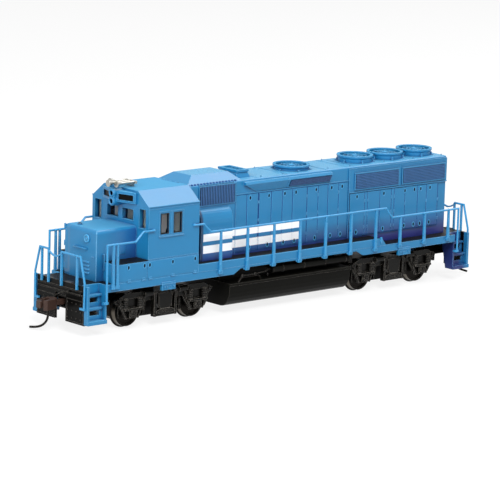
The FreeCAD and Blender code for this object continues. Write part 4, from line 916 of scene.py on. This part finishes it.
# %% Latches
LATCH_ROWS = (
    # face, height, places along the hood or the battery box
    (HOOD_SIDE, 43.9, (15.6, 6.0, -2.2, -8.0, -18.7, -26.9, -32.5)),
    (HOOD_SIDE, 24.7, (15.6, 6.3, -2.0, -7.7, -18.5, -26.8, -32.2)),
    (RADIATOR_SIDE, 39.0, (-40.3, -55.0, -66.7, -72.0, -75.6, -80.8)),
    (RADIATOR_SIDE, 24.7, (-40.3, -54.9, -66.7, -72.0, -75.6, -80.8)),
    (17.2, 24.9, (80.7, 73.1, 70.6, 59.5, 48.6)),
)
LATCHES = [(x, face, z) for face, z, places in LATCH_ROWS for x in places]
oval = shrink(post("y", 0.8, -0.05, 0.28, (0, 0), sides=16), every, (0.95, 1.0, 1.35))
inset(oval, outer, 0.3)
inset(oval, lambda c, n: n.y > 0.9 and abs(c.x) < 0.1, 0.02, -0.16)
piece(smooth(both_sides(at_each(oval, LATCHES))), "latch_rings", "latch_highlight_blue")
slit = shrink(post("y", 0.46, 0.0, 0.26, (0, 0), sides=12), every, (0.9, 1.0, 1.6))
inset(slit, outer, 0.08, -0.05)
piece(smooth(both_sides(at_each(slit, LATCHES))), "latch_slots", "slot_black")

# %% [markdown]
# ## Grilles
# Air goes in through three kinds of grille. The two radiator grilles are a fine square mesh, the
# intake behind the cab has upright bars, and the brake blister has bars on its leaning face. The
# frame has the dark panels behind them. The bars in front are made as one bar each way, repeated
# by an array, with a flat border round them.

# %% Bars and borders
BAR_PROUD = 0.34
CROSS_PROUD = 0.26


def fitted(low, high, pitch, ends=0):
    """How many bars fit between two sizes at a pitch, and where the first one goes."""
    count = int((high - low) / pitch) + ends
    return count, low + ((high - low) - (count - 1) * pitch) / 2


def bar_mesh(front, rear, low, high, face, pitch, cross_pitch=None, width=0.26):
    count, start = fitted(rear, front, pitch)
    upright = slab(about(start, width / 2), (face, face + BAR_PROUD), (low, high), 0.05)
    parts = [row(upright, count, (pitch, 0, 0))]
    if cross_pitch:
        count, start = fitted(low, high, cross_pitch)
        cross = block((rear, front), (face, face + CROSS_PROUD), about(start, 0.1))
        parts.append(row(cross, count, (0, 0, cross_pitch)))
    return join(parts)


def border(front, rear, low, high, face, width, proud):
    """A flat frame: a plate whose two faces are inset, and whose middle is bridged to a hole."""
    plate = block((rear - width, front + width), on(face, proud, 0.1),
                  (low - width, high + width))
    open_faces(plate, lambda c, n: abs(n.y) > 0.9)
    bpy.ops.mesh.inset(thickness=width * MM, use_individual=True)
    bpy.ops.mesh.bridge_edge_loops()
    return bevel(leave(plate), 0.08)


print("bars and borders")

# %% Radiator and intake grilles
RADIATOR_GRILLES = ((-39.2, -62.7, 42.1, 48.1), (-65.2, -88.7, 42.1, 48.1))
INTAKE = (41.2, 23.7, 43.2, 50.3)
BARS_OUT = 0.3
MESH_PITCH = 0.62
INTAKE_PITCH = 0.8
meshes = [bar_mesh(*opening, RADIATOR_SIDE + BARS_OUT, MESH_PITCH, MESH_PITCH)
          for opening in RADIATOR_GRILLES]
piece(both_sides(join(meshes)), "radiator_mesh", "grille_blue")
intake_bars = bar_mesh(*INTAKE, HOOD_SIDE + BARS_OUT, INTAKE_PITCH, width=0.4)
piece(both_sides(intake_bars), "intake_bars", "grille_blue")
borders = [border(*opening, RADIATOR_SIDE, 0.5, 0.5) for opening in RADIATOR_GRILLES]
borders.append(border(*INTAKE, HOOD_SIDE, 0.35, 0.5))
piece(both_sides(join(borders)), "grille_borders", "hood_blue")

# %% Bars of the brake grille
BRAKE_REAR = -25.4
BRAKE_LEAN = 1.02
BRAKE_BARS = 35
BRAKE_PITCH = 0.617
leaning_bar = block((BRAKE_REAR, BRAKE_REAR + 0.26), (10.8, 11.0), (46.75, 49.05))
pull(leaning_bar, lambda p: p.z > 49, (0, BRAKE_LEAN, 0))
brake_bars = row(bevel(leaning_bar, 0.04), BRAKE_BARS, (BRAKE_PITCH, 0, 0))
piece(both_sides(brake_bars), "brake_grille_bars", "grille_blue")

# %% [markdown]
# ## Wires and balls
# Pipes, levers and grab irons are round wire. A curve could make them, but a wire this short is
# simply a cylinder for each run and a ball at each bend. Small balls also make the rail's knobs.

# %% Helpers: wires and balls
def sphere(radius, place, **settings):
    return fresh(bpy.ops.mesh.primitive_uv_sphere_add, place, radius=radius * MM, **settings)


def wire(points, radius, sides=8):
    """A round wire through a list of points."""
    parts = []
    for start, end in zip(points, points[1:]):
        run = Vector(end) - Vector(start)
        parts.append(fresh(
            bpy.ops.mesh.primitive_cylinder_add, (Vector(start) + Vector(end)) / 2,
            vertices=sides, radius=radius * MM, depth=run.length * MM,
            rotation=run.to_track_quat("Z", "Y").to_euler()))
    parts += [sphere(radius, bend, segments=sides, ring_count=6) for bend in points[1:-1]]
    return join(parts)


def ball(radius, place):
    """A small ball, flattened a little from above."""
    return sphere(radius, place, segments=14, ring_count=8, scale=(1.0, 1.0, 0.85))


print("wires and balls")

# %% [markdown]
# ## Roof fans
# The frame has each fan's shroud, hub and spokes. What is added is what makes them read as fans:
# pitched blades under the spokes, two guard wires over them, a cap on the hub and lugs round the
# outside. One blade is a thin block, turned a little about its own length and copied eight times.

# %% Fans
FANS = (
    # x, height of the shroud
    (-14.4, 1.9), (-48.6, 2.7), (-65.0, 2.7), (-81.4, 2.7),
)
HOOD_TOP = 51.2
BLADES = 8
BLADE_TURN = 16
LUGS = 6
LUG_TURN = 12


def make_blades(x, height):
    base = HOOD_TOP + height - 1.35
    blade = block((x + 1.4, x + 6.0), (-1.1, 1.1), about(base, 0.06))
    shrink(blade, lambda c, n: n.x < -0.9, (1, 0.55, 1))
    turned(blade, "X", BLADE_TURN, (0, 0, base))
    return bevel(turned_copies(blade, BLADES, x), 0.03)


def make_guard(x, height):
    top = HOOD_TOP + height
    wires = [ring("z", radius, 0.13, (x, 0, top - 0.62)) for radius in (3.1, 4.7)]
    cap = inset(post("z", 1.3, top - 0.7, top - 0.3, (x, 0)), upper, 0.4, 0.16)
    lip = ring("z", 7.25, 0.16, (x, 0, top - 0.02), sides=64)
    return join(wires + [cap, lip])


def make_lugs(x, height):
    lug = block((x + 6.7, x + 7.7), (-0.3, 0.3), (HOOD_TOP, HOOD_TOP + height - 1.3))
    pull(lug, lambda p: p.x > x + 7.2 and p.z > HOOD_TOP + 0.3, (-0.35, 0, 0))
    foot = block((x + 6.7, x + 8.1), (-0.55, 0.55), on(HOOD_TOP, 0.28))
    lugs = turned_copies(bevel(join([lug, foot]), 0.06), LUGS, x)
    return turned(lugs, "Z", LUG_TURN, (x, 0, 0))


piece(join([make_blades(*fan) for fan in FANS]), "fan_blades", "black_plastic")
piece(smooth(join([make_guard(*fan) for fan in FANS])), "fan_guards")
piece(join([make_lugs(*fan) for fan in FANS]), "fan_lugs")

# %% [markdown]
# ## Roof fittings
# Thin cover strips cross the roof where its hatches meet, and lifting eyes stand in pairs beside
# them. A row of bolt heads runs along each top edge of the grilles, where the hatches are held.

# %% Roof strips and lifting eyes
ROOF_SEAMS = (11.0, -4.4, -24.8, -36.1, -40.0)
strips = [slab(about(x, 0.25), (-9.3, 9.3), (51.1, 51.32), 0.08) for x in ROOF_SEAMS]
piece(join(strips), "roof_strips", "hood_blue")
eye = join([
    slab((-0.35, 0.35), (-0.25, 0.25), (51.1, 51.35), 0.06),
    ring("y", 0.24, 0.1, (0, 0, 51.45), sides=14),
])
EYES = [(x, y, 0) for x in (8.6, -2.6, -26.4, -38.2, -56.8, -73.2, -89.0) for y in (-8.3, 8.3)]
piece(smooth(at_each(eye, EYES)), "lifting_eyes")

# %% Bolt rows over the grilles
BOLT_ROWS = (
    # front, rear, height, face, pitch, radius, how far a bolt stands out
    (41.5, 23.9, 50.95, HOOD_SIDE, 0.72, 0.24, 0.3),
    (-38.6, -88.9, 49.7, RADIATOR_SIDE, 0.95, 0.19, 0.17),
    (-38.6, -62.9, 49.0, RADIATOR_SIDE, 0.95, 0.15, 0.17),
    (-64.8, -88.9, 49.0, RADIATOR_SIDE, 0.95, 0.15, 0.17),
    (-38.6, -88.9, 41.35, RADIATOR_SIDE, 0.95, 0.13, 0.17),
)


def bolt_row(front, rear, height, face, pitch, radius, proud):
    count, start = fitted(rear, front, pitch, ends=1)
    return row(bolt("y", radius, *on(face, proud), (start, height)), count, (pitch, 0, 0))


rows = [bolt_row(*line) for line in BOLT_ROWS]
piece(both_sides(join(rows)), "hood_bolts", "hood_blue")

# %% Blister ribs, panel seams and the exhaust's inner walls
BLISTER_LENGTH = 22.5
rib_low = block((-3.35, -3.0), (10.15, 10.62), (46.2, 49.5))
pull(rib_low, lambda p: p.z > 49, (0, 1.5, 0))
rib_high = block((-3.35, -3.0), (11.0, 12.12), (49.5, 50.4))
pull(rib_high, lambda p: p.z > 50 and p.y > 12, (0, -0.6, 0))
ribs = [rib_low, rib_high]
ribs += [moved(copy_of(rib), (-BLISTER_LENGTH, 0, 0)) for rib in (rib_low, rib_high)]
ribs += [
    block((22.7, 23.0), (10.1, 10.36), (22.4, 50.6)),
    block((-36.3, -35.9), (10.1, 10.75), (22.4, 50.5)),
    block((-63.9, -63.3), (10.6, 10.86), (41.2, 50.3)),
    block((-36.4, -90.0), (10.6, 10.82), (50.35, 50.6)),
]
piece(both_sides(join([bevel(rib, 0.05) for rib in ribs])), "hood_ribs", "hood_blue")
vanes = [slab((13.9, 17.5), about(y, 0.15), (52.3, 54.0), 0.05) for y in (-2.2, 0.0, 2.2)]
piece(join(vanes), "exhaust_vanes")

# %% [markdown]
# ## Cab trim
# The side windows sit in a raised frame, each with a sash round its pane, and a thin drip rail
# runs under the roof's edge. The front windows have narrow gaskets. Every frame is one plate whose
# middle is taken out, and the front ones are made facing sideways and turned into place.

# %% Window frames
CAB_SIDE = 17.05
PANES = ((65.1, 61.8), (58.8, 55.5))
frames = [border(65.9, 54.6, 35.3, 44.2, CAB_SIDE, 0.35, 0.16)]
frames += [border(front + 0.3, rear - 0.3, 35.9, 43.6, CAB_SIDE - 0.5, 0.35, 0.36)
           for front, rear in PANES]
CAB_STRIPS = (
    # x, z, how far inside and outside the cab's face, soft edge
    ((60.05, 60.55), (35.3, 44.2), 0.1, 0.2, 0.06),
    ((54.2, 66.3), (34.6, 35.0), 0.1, 0.45, 0.08),
    ((46.7, 71.1), (45.55, 45.85), 0.1, 0.14, 0.06),
    ((46.5, 71.3), (46.35, 46.75), 0.2, 0.28, 0.08),
    ((46.7, 71.1), (26.75, 26.95), 0.1, 0.1, 0.04),
)
frames += [slab(x, on(CAB_SIDE, proud, sunk), z, soft)
           for x, z, sunk, proud, soft in CAB_STRIPS]
piece(both_sides(join(frames)), "cab_side_trim")
END_WINDOWS = (
    # two sides, foot and top, face, turn
    (-1.3, -7.8, 40.2, 44.3, 71.2, -90),
    (-11.5, -15.3, 38.1, 45.3, 71.2, -90),
    (15.3, 11.5, 38.1, 45.3, -46.6, 90),
)
end_frames = [turned(border(*window, 0.3, 0.2), "Z", turn) for *window, turn in END_WINDOWS]
piece(both_sides(join(end_frames)), "cab_end_trim")

# %% Dark window gaskets
gaskets = [border(*pane, 36.2, 43.3, face, width, proud)
           for face, width, proud in ((16.2, 0.28, 0.12), (17.05, 0.42, 0.08))
           for pane in PANES]
piece(both_sides(join(gaskets)), "window_gaskets", "black_plastic")

# %% Lamp rims and number board frames
LAMP_RIMS = ((75.6, 46.9), (75.6, 50.0), (-92.0, 45.9), (-92.0, 49.0))
rims = [ring("x", 1.2, 0.36, (x, 0, z), sides=28, wire_sides=10) for x, z in LAMP_RIMS]
piece(smooth(join(rims)), "lamp_rims")
case_lean = math.degrees(math.atan2(2.8, 9.8))
board_frame = turned(border(-2.45, -9.2, 47.75, 49.95, 0.0, 0.3, 0.2), "Z", case_lean - 90)
piece(both_sides(moved(board_frame, (74.8, 0, 0))), "number_board_frames")

# %% [markdown]
# ## Nose details
# The nose has a round boss with a collar, a short ledge, a row of low louvres and, on its far
# corner, a door on three hinges. A filler cap stands on its top, and a grab iron on its side.

# %% Nose boss
NOSE_FRONT = 90.2
boss = join([
    ring("x", 1.25, 0.34, (NOSE_FRONT + 0.25, 4.4, 34.9), sides=28),
    bolt("x", 0.5, *on(NOSE_FRONT, 0.5, 0.1), (4.4, 34.9), sides=14),
])
piece(smooth(boss), "nose_boss", "latch_highlight_blue")

# %% Nose details
def louvre(y, z):
    slat = block(on(NOSE_FRONT, 0.45, 0.1), about(y, 2.2), about(z, 0.3))
    pull(slat, lambda p: p.x > NOSE_FRONT and p.z > z, (-0.4, 0, 0))
    return bevel(slat, 0.06)


GRAB_IRON = ((87.0, 9.8, 29.4), (87.0, 10.7, 29.4), (87.0, 10.7, 23.6), (87.0, 9.8, 23.6))
nose_door = turned(panel((6.6, 9.5), (-0.05, 0.14), (21.2, 36.4), 0.3, 0.05), "Z", -90)
nose = [slab(on(NOSE_FRONT, 0.7, 0.1), (-3.3, 4.6), (30.6, 31.2), 0.2, 2)]
nose += [louvre(3.6, 22.0 + 1.35 * i) for i in range(4)]
nose += [bolt("x", 0.28, *on(NOSE_FRONT, 0.25, 0.1), (y, 28.4)) for y in (7.6, 8.6)]
nose.append(moved(nose_door, (89.75, 0, 0)))
nose += [barrel("z", 0.42, z - 0.9, z + 0.9, (89.6, -9.85), 12, 0.12, 0.1)
         for z in (22.6, 31.0, 37.4)]
nose.append(inset(post("z", 0.95, 38.5, 39.1, (87.3, -3.9)), upper, 0.3, -0.12))
nose.append(wire(GRAB_IRON, 0.24))
nose.append(panel((76.4, 79.0), (9.85, 10.05), (28.6, 32.6), 0.3, 0.08))
piece(smooth(join(nose)), "nose_details", "shade_blue")
cap_top = inset(post("z", 0.6, 39.0, 39.25, (87.3, -3.9), sides=16), upper, 0.15, 0.08)
piece(cap_top, "nose_cap", "black_plastic")

# %% [markdown]
# The raised hatch behind the cab is held down by a row of small clips along each long edge, and
# the seam between cab roof and hood has a row of rivets. Both are one small shape repeated.

# %% Hatch clips and roof rivets
CLIPS = 16
CLIP_PITCH = 1.55
RIVETS = 9
RIVET_PITCH = 1.2
clip = block((22.3, 23.1), (9.3, 9.95), (51.0, 51.7))
pull(clip, lambda p: p.z > 51.3 and p.y > 9.7, (0, -0.2, -0.15))
clips = row(bevel(clip, 0.05), CLIPS, (CLIP_PITCH, 0, 0))
piece(both_sides(clips), "hatch_clips", "seam_blue")
rivet = bolt("z", 0.26, 51.8, 52.1, (47.3, -4.8), sides=8)
piece(row(rivet, RIVETS, (0, RIVET_PITCH, 0)), "cab_roof_rivets")

# %% [markdown]
# ## Sills and walkways
# Under the cab the walkway's outer face is a row of access panels with hinges along their foot.
# Along the rest of the sill run a thin seam and the feet of the stanchions, each with two bolts.
# The rails get a small collar wherever a stanchion holds them.

# %% Access panels and their hinges
SILL_SIDE = 17.2
panels = [panel(x, on(SILL_SIDE, 0.1), (19.75, 26.2), 0.25, 0.04, 0.04)
          for x in ((71.9, 86.0), (47.2, 71.5))]
for x in (80.2, 73.3, 70.0, 59.2, 48.4):
    panels.append(barrel("x", 0.24, x - 0.95, x + 0.95, (SILL_SIDE + 0.12, 19.4), 10, 0.07, 0.08))
    panels.append(slab(about(x, 0.6), on(SILL_SIDE, 0.2), (19.4, 20.3), 0.06))
piece(smooth(both_sides(join(panels))), "access_panels")

# %% Sill seam, feet and bolts
NOSE_STANCHIONS = [86.2, 88.1]
HOOD_STANCHIONS = [36.1 - 13.5 * i for i in range(10)]
SILL_STRIPS = (
    # x, z, how far it stands out, soft edge
    ((-89.8, 46.4), (19.2, 19.38), 0.1, 0.04),
    ((32.6, 89.8), (16.55, 16.8), 0.16, 0.06),
    ((-89.8, -42.5), (16.55, 16.8), 0.16, 0.06),
)
sill = [slab(x, on(SILL_SIDE, proud), z, soft)
        for x, z, proud, soft in SILL_STRIPS]
for x in HOOD_STANCHIONS:
    sill += [bolt("y", 0.36, *on(SILL_SIDE, 0.24), (x + side, 18.2), sides=8)
             for side in (-1.25, 1.25)]
    sill.append(slab(about(x, 0.85), (SILL_SIDE + 0.5, SILL_SIDE + 0.82), (17.7, 18.8),
                     0.25, 2))
piece(smooth(both_sides(join(sill))), "sill_details")

# %% Rail collars, knobs and the bracket where the high walkway ends
RAIL_SIDE = 17.42
HIGH_RAIL = 34.4
LOW_RAIL = 30.3
COLLARS = (
    # side, height, places along the rail
    (RAIL_SIDE, HIGH_RAIL, NOSE_STANCHIONS + HOOD_STANCHIONS[:7]),
    (RAIL_SIDE, LOW_RAIL, HOOD_STANCHIONS[7:]),
    (-RAIL_SIDE, HIGH_RAIL, NOSE_STANCHIONS),
    (-RAIL_SIDE, LOW_RAIL, HOOD_STANCHIONS),
)
collars = [ball(0.6, (x, y, z)) for y, z, places in COLLARS for x in places]
collars += [ball(0.7, (x, y, 37.8)) for y in (17.3, -17.3) for x in (69.0, 49.2)]
collars.append(slab((-48.9, -47.9), (16.9, 17.5), (20.2, 22.8), 0.2, 2))
piece(smooth(join(collars)), "rail_collars", "rail_highlight_blue")

# %% [markdown]
# ## The ends
# Each pilot has rows of bolts, an uncoupling lever that reaches from the step to the coupler, and
# a light step plate over its edge.

# %% Pilot details
pilot = [bolt("x", 0.26, 98.9, 99.2, (y, z))
         for y in (4.6, 7.2, 9.8, 12.4) for z in (6.4, 9.2, 12.0)]
rim = turned(border(-4.2, -13.6, 5.2, 13.2, 0, 0.3, 0.12), "Z", -90)
pilot.append(moved(rim, (99.0, 0, 0)))
piece(both_ends(both_sides(join(pilot))), "pilot_bolts", "black_plastic")
LEVER = ((99.6, 14.6, 12.0), (99.6, 14.2, 15.9), (99.6, 4.2, 15.9), (100.4, 1.2, 15.0),
         (101.6, 0.6, 14.2))
lever = [wire(LEVER, 0.24)]
lever += [ring("y", 0.42, 0.16, (99.4, y, 15.9), sides=14) for y in (12.6, 5.2)]
piece(smooth(both_ends(join(lever))), "uncoupling_levers", "black_plastic")
plate = slab((97.6, 99.2), (3.0, 6.5), (19.2, 19.62), 0.12, 2)
piece(both_ends(plate), "end_step_plates", "weight_metal")

# %% [markdown]
# ## Tank, reservoirs and piping
# The tank's side has one long seam under its lip, and the air reservoirs lie above it. Their ends
# are domed, a band holds each to the frame, and thin pipes run forward from the first one.

# %% Tank and reservoirs
RESERVOIR = (14.4, 15.6)
BRAKE_PIPE = ((24.4, 15.2, 12.6), (23.3, 15.6, 15.0), (16.5, 15.6, 15.1), (11.4, 15.4, 15.4),
              (9.1, 15.0, 16.2), (7.4, 14.4, 15.6))
FUEL_PIPE = ((24.0, 14.2, 12.6), (22.4, 14.6, 14.0), (14.0, 14.6, 14.1), (12.4, 14.2, 12.5))
tank = [slab((-33.6, 29.1), (15.3, 15.52), (11.25, 11.45), 0.05)]
tank += [shrink(ball(1.46, (x, *RESERVOIR)), every, (0.45, 1, 1.17)) for x in (7.0, -33.0)]
tank += [ring("x", 1.52, 0.16, (x, *RESERVOIR), sides=28) for x in (2.0, -9.0, -20.0, -31.0)]
tank.append(slab((-34.4, -32.6), (13.2, 15.7), (13.8, 16.9), 0.2, 2))
tank += [wire(BRAKE_PIPE, 0.26), wire(FUEL_PIPE, 0.22)]
tank += [slab(about(x, 0.5), (15.1, 16.0), (14.5, 15.6), 0.15) for x in (16.5, 22.8)]
drain = post("z", 0.35, 13.4, 14.3, (9.2, 14.4), sides=10)
tank.append(inset(drain, lambda c, n: n.z < -0.9, 0.1, 0.1))
piece(smooth(both_sides(join(tank))), "tank_and_pipes", "black_plastic")
valve = bolt("y", 0.42, 15.6, 16.2, (7.6, 15.9), sides=8)
piece(both_sides(valve), "reservoir_valves", "pin_steel")

# %% [markdown]
# ## Truck details
# A truck's side frame is the busiest part of the model: coil springs over each journal box, bolts,
# brake shoes and hangers, and sand pipes that end at the wheels. One corner is modelled, mirrored
# about the truck's own middle, and then copied for both trucks, each copy with its own mesh.

# %% Springs, bolts and pipes of one corner, about the truck's middle
AXLE = 15.75
AXLE_UP = 6.43
SPRING_FOOT = 8.8
COIL_PITCH = 0.72
corner = [ring("z", 0.98, 0.17, (AXLE + side, 13.35, SPRING_FOOT + COIL_PITCH * i),
               sides=16, wire_sides=6)
          for side in (-3.4, 3.4) for i in range(5)]
corner += [bolt("y", 0.24, 13.8, 14.1, (AXLE + dx, AXLE_UP + dz))
           for dx in (-1.4, 1.4) for dz in (-1.4, 1.4)]
corner.append(ring("y", 1.02, 0.13, (AXLE, 14.4, AXLE_UP), sides=22, wire_sides=6))
corner.append(bolt("y", 0.4, 14.35, 14.65, (AXLE, AXLE_UP)))
corner += [bolt("y", 0.28, 13.25, 13.6, (x, 12.6)) for x in (2.4, 8.9, 12.2, 21.9)]
corner += [bolt("y", 0.26, 13.2, 13.55, (x, 9.4)) for x in (AXLE - 4.6, AXLE + 4.9)]
corner.append(wire(((AXLE - 7.2, 11.2, 6.5), (AXLE - 7.8, 12.0, 12.4)), 0.32))
corner.append(wire(((6.4, 13.5, 13.0), (4.3, 13.5, 13.0), (3.2, 13.6, 11.4)), 0.28))
corner.append(ring("x", 0.9, 0.2, (10.3, 13.35, 13.0), sides=20, wire_sides=6))
SAND_PIPE = ((20.4, 13.2, 12.6), (21.9, 12.8, 11.6), (21.7, 12.0, 7.0), (20.9, 11.4, 4.6))
corner.append(wire(SAND_PIPE, 0.26))
print(len(corner), "small parts in a corner")

# %% Brake shoe, lug and leaf springs, and the two trucks
TRUCK_CENTRE = 59.5
ENDS = ((1, "front"), (-1, "rear"))
shoe = block((AXLE - 7.5, AXLE - 6.3), (10.2, 11.5), (4.4, 8.6))
pull(shoe, lambda p: p.x > AXLE - 6.6 and abs(p.z - 6.5) > 1, (-0.25, 0, 0))
corner.append(bevel(shoe, 0.12))
corner.append(slab((21.4, 23.0), (13.0, 13.7), (11.2, 12.2), 0.15))
corner += [slab((0.0, 3.6 - 0.7 * i), (13.2, 13.95), (4.75 + 0.55 * i, 5.15 + 0.55 * i), 0.08)
           for i in range(3)]
corner.append(inset(block((0.0, 3.3), (13.2, 13.4), (6.9, 11.9)), outer, 0.2, -0.08))
gear = smooth(both_sides(both_ends(join(corner))))
for sign, label in ENDS:
    copy = moved(copy_of(gear), (sign * TRUCK_CENTRE, 0, 0))
    piece(copy, "truck_gear_" + label, "black_plastic", "truck_" + label)
bpy.data.objects.remove(gear)

# %% [markdown]
# ## Coupler details
# Each knuckle turns on a pin with a domed head. Below the head hangs a bent pin, which looks like
# an air hose. A row of short cylinders would show its joints, so it is a smooth path with a round
# section, made a mesh at the end. Both ride on the coupler, so they swing with it.

# %% Bent pins
PIN_ROUTE = (
    # from the coupler's head down, forward and to the side
    (103.9, -0.8, 9.3), (103.9, -0.8, 6.6), (104.2, -1.3, 4.2),
    (104.9, -3.2, 2.2), (105.8, -6.0, 1.2), (106.5, -8.6, 0.95),
)
PIN_RADIUS = 0.46
WELD_WITHIN = 0.00001


def bent_pin(points, radius):
    """A round pin that follows a smooth path near its points."""
    bpy.ops.object.select_all(action="DESELECT")
    bpy.ops.curve.primitive_nurbs_path_add()
    pin = bpy.context.object
    path = pin.data.splines[0]
    path.points.add(len(points) - len(path.points))
    for spot, point in zip(path.points, points):
        spot.co = (*(Vector(point) * MM), 1.0)
    path.order_u = 3
    path.use_endpoint_u = True
    pin.data.resolution_u = 8
    pin.data.bevel_depth = radius * MM
    pin.data.bevel_resolution = 3
    pin.data.use_fill_caps = True
    bpy.ops.object.convert(target="MESH")
    edit(bpy.context.object, "VERT")
    bpy.ops.mesh.select_all(action="SELECT")
    bpy.ops.mesh.remove_doubles(threshold=WELD_WITHIN)
    bpy.ops.mesh.normals_make_consistent(inside=False)
    return settle(leave(bpy.context.object))


print("a pin of", PIN_RADIUS, "mm radius")

# %% Pins on both couplers
for sign, label in ENDS:
    head = post("z", 0.6, 12.9, 13.35, (sign * 104.9, sign * -2.2), sides=16)
    inset(head, upper, 0.18, 0.12)
    piece(smooth(head), "coupler_pin_" + label, "pin_steel", "coupler_" + label)
for sign, label in ENDS:
    route = [(sign * x, sign * y, z) for x, y, z in PIN_ROUTE]
    bent = smooth(bent_pin(route, PIN_RADIUS))
    piece(bent, "bent_pin_" + label, "pin_steel", "coupler_" + label)
    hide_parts("trip_pin_" + label)

# %% [markdown]
# ## Inside the cab
# Through the clear panes one sees a pale lining on the walls, a seat on each side and the
# driver's stand. They are simple, because only their outlines show.

# %% Cab lining
LINING_PANELS = (
    # x and z, round the two side panes
    ((48.4, 68.9), (27.0, 35.6)),
    ((48.4, 68.9), (43.9, 46.0)),
    ((48.4, 54.9), (35.65, 43.85)),
    ((59.4, 61.2), (35.65, 43.85)),
    ((65.7, 68.9), (35.65, 43.85)),
)
rear_wall = block((47.95, 48.3), (-15.6, 15.6), (27.0, 46.0))
inset(rear_wall, lambda c, n: n.x > 0.9, 0.8, 0.1)
lining = [bevel(rear_wall, 0.05)]
lining += [slab(x, about(y, 0.12), z, 0.04)
           for x, z in LINING_PANELS for y in (-15.55, 15.55)]
piece(join(lining), "cab_lining", "cab_grey")

# %% Seats and stand
furniture = []
for y in (-9.5, 9.5):
    furniture.append(slab((55.0, 59.5), about(y, 2.4), (31.0, 32.2), 0.4, 2))
    back = slab((54.2, 55.4), about(y, 2.3), (32.0, 35.6), 0.4, 2)
    furniture.append(turned(back, "Y", -6, (54.8, y, 32)))
    furniture.append(post("z", 0.9, 26.8, 31.2, (57.2, y), sides=14))
stand = block((62.5, 67.0), (3.0, 6.0), (26.7, 36.5))
pull(stand, lambda p: p.z > 36 and p.x < 63, (2.2, 0, 0))
furniture.append(bevel(stand, 0.2))
piece(smooth(join(furniture)), "cab_seats", "black_plastic")

# %% [markdown]
# ## Jacking pads and the rear end
# The frame has four jacking pads, which get bolts and a slot here. The rear of the hood has a
# door, grab irons and blank number boards like those in front.

# %% Jacking pads
pads = []
for x in (61.2, -61.2):
    pads += [bolt("y", 0.4, 17.4, 17.95, (x + dx, 15.6), sides=8) for dx in (-2.2, 2.2)]
    pads.append(panel(about(x, 1.1), (17.4, 17.85), (14.5, 15.9), 0.3, -0.2, 0.08))
    pads.append(slab(about(x, 3.3), (17.4, 17.75), (16.5, 16.9), 0.08))
piece(both_sides(join(pads)), "jacking_details")

# %% Rear end
BOARDS = ((-8.7, -3.3), (3.3, 8.7))
BOARD_HEIGHT = (45.6, 48.4)
REAR_FACE = (-90.2, 0, 0)
rear_door = turned(panel((1.6, 8.6), (-0.05, 0.14), (21.0, 42.5), 0.35, 0.05), "Z", 90)
rear = [moved(rear_door, REAR_FACE)]
rear += [barrel("z", 0.35, z - 0.8, z + 0.8, (-90.35, 8.9), 12, 0.1, 0.1)
         for z in (24.0, 31.5, 39.0)]
rear += [wire([(-90.1, -7.8, z), (-91.0, -7.8, z), (-91.0, -3.4, z), (-90.1, -3.4, z)], 0.22)
         for z in (24.5, 28.6, 32.7, 36.8, 40.9)]
filler = post("x", 1.2, -90.9, -90.1, (0.0, 43.6))
rear.append(inset(filler, lambda c, n: n.x < -0.9, 0.35, 0.2))
rear += [moved(turned(border(high, low, *BOARD_HEIGHT, 0, 0.35, 0.35), "Z", 90), REAR_FACE)
         for low, high in BOARDS]
piece(smooth(join(rear)), "rear_end_details")
boards = [slab((-90.3, -90.1), board, BOARD_HEIGHT, 0.04) for board in BOARDS]
piece(join(boards), "rear_number_boards", "black_plastic")
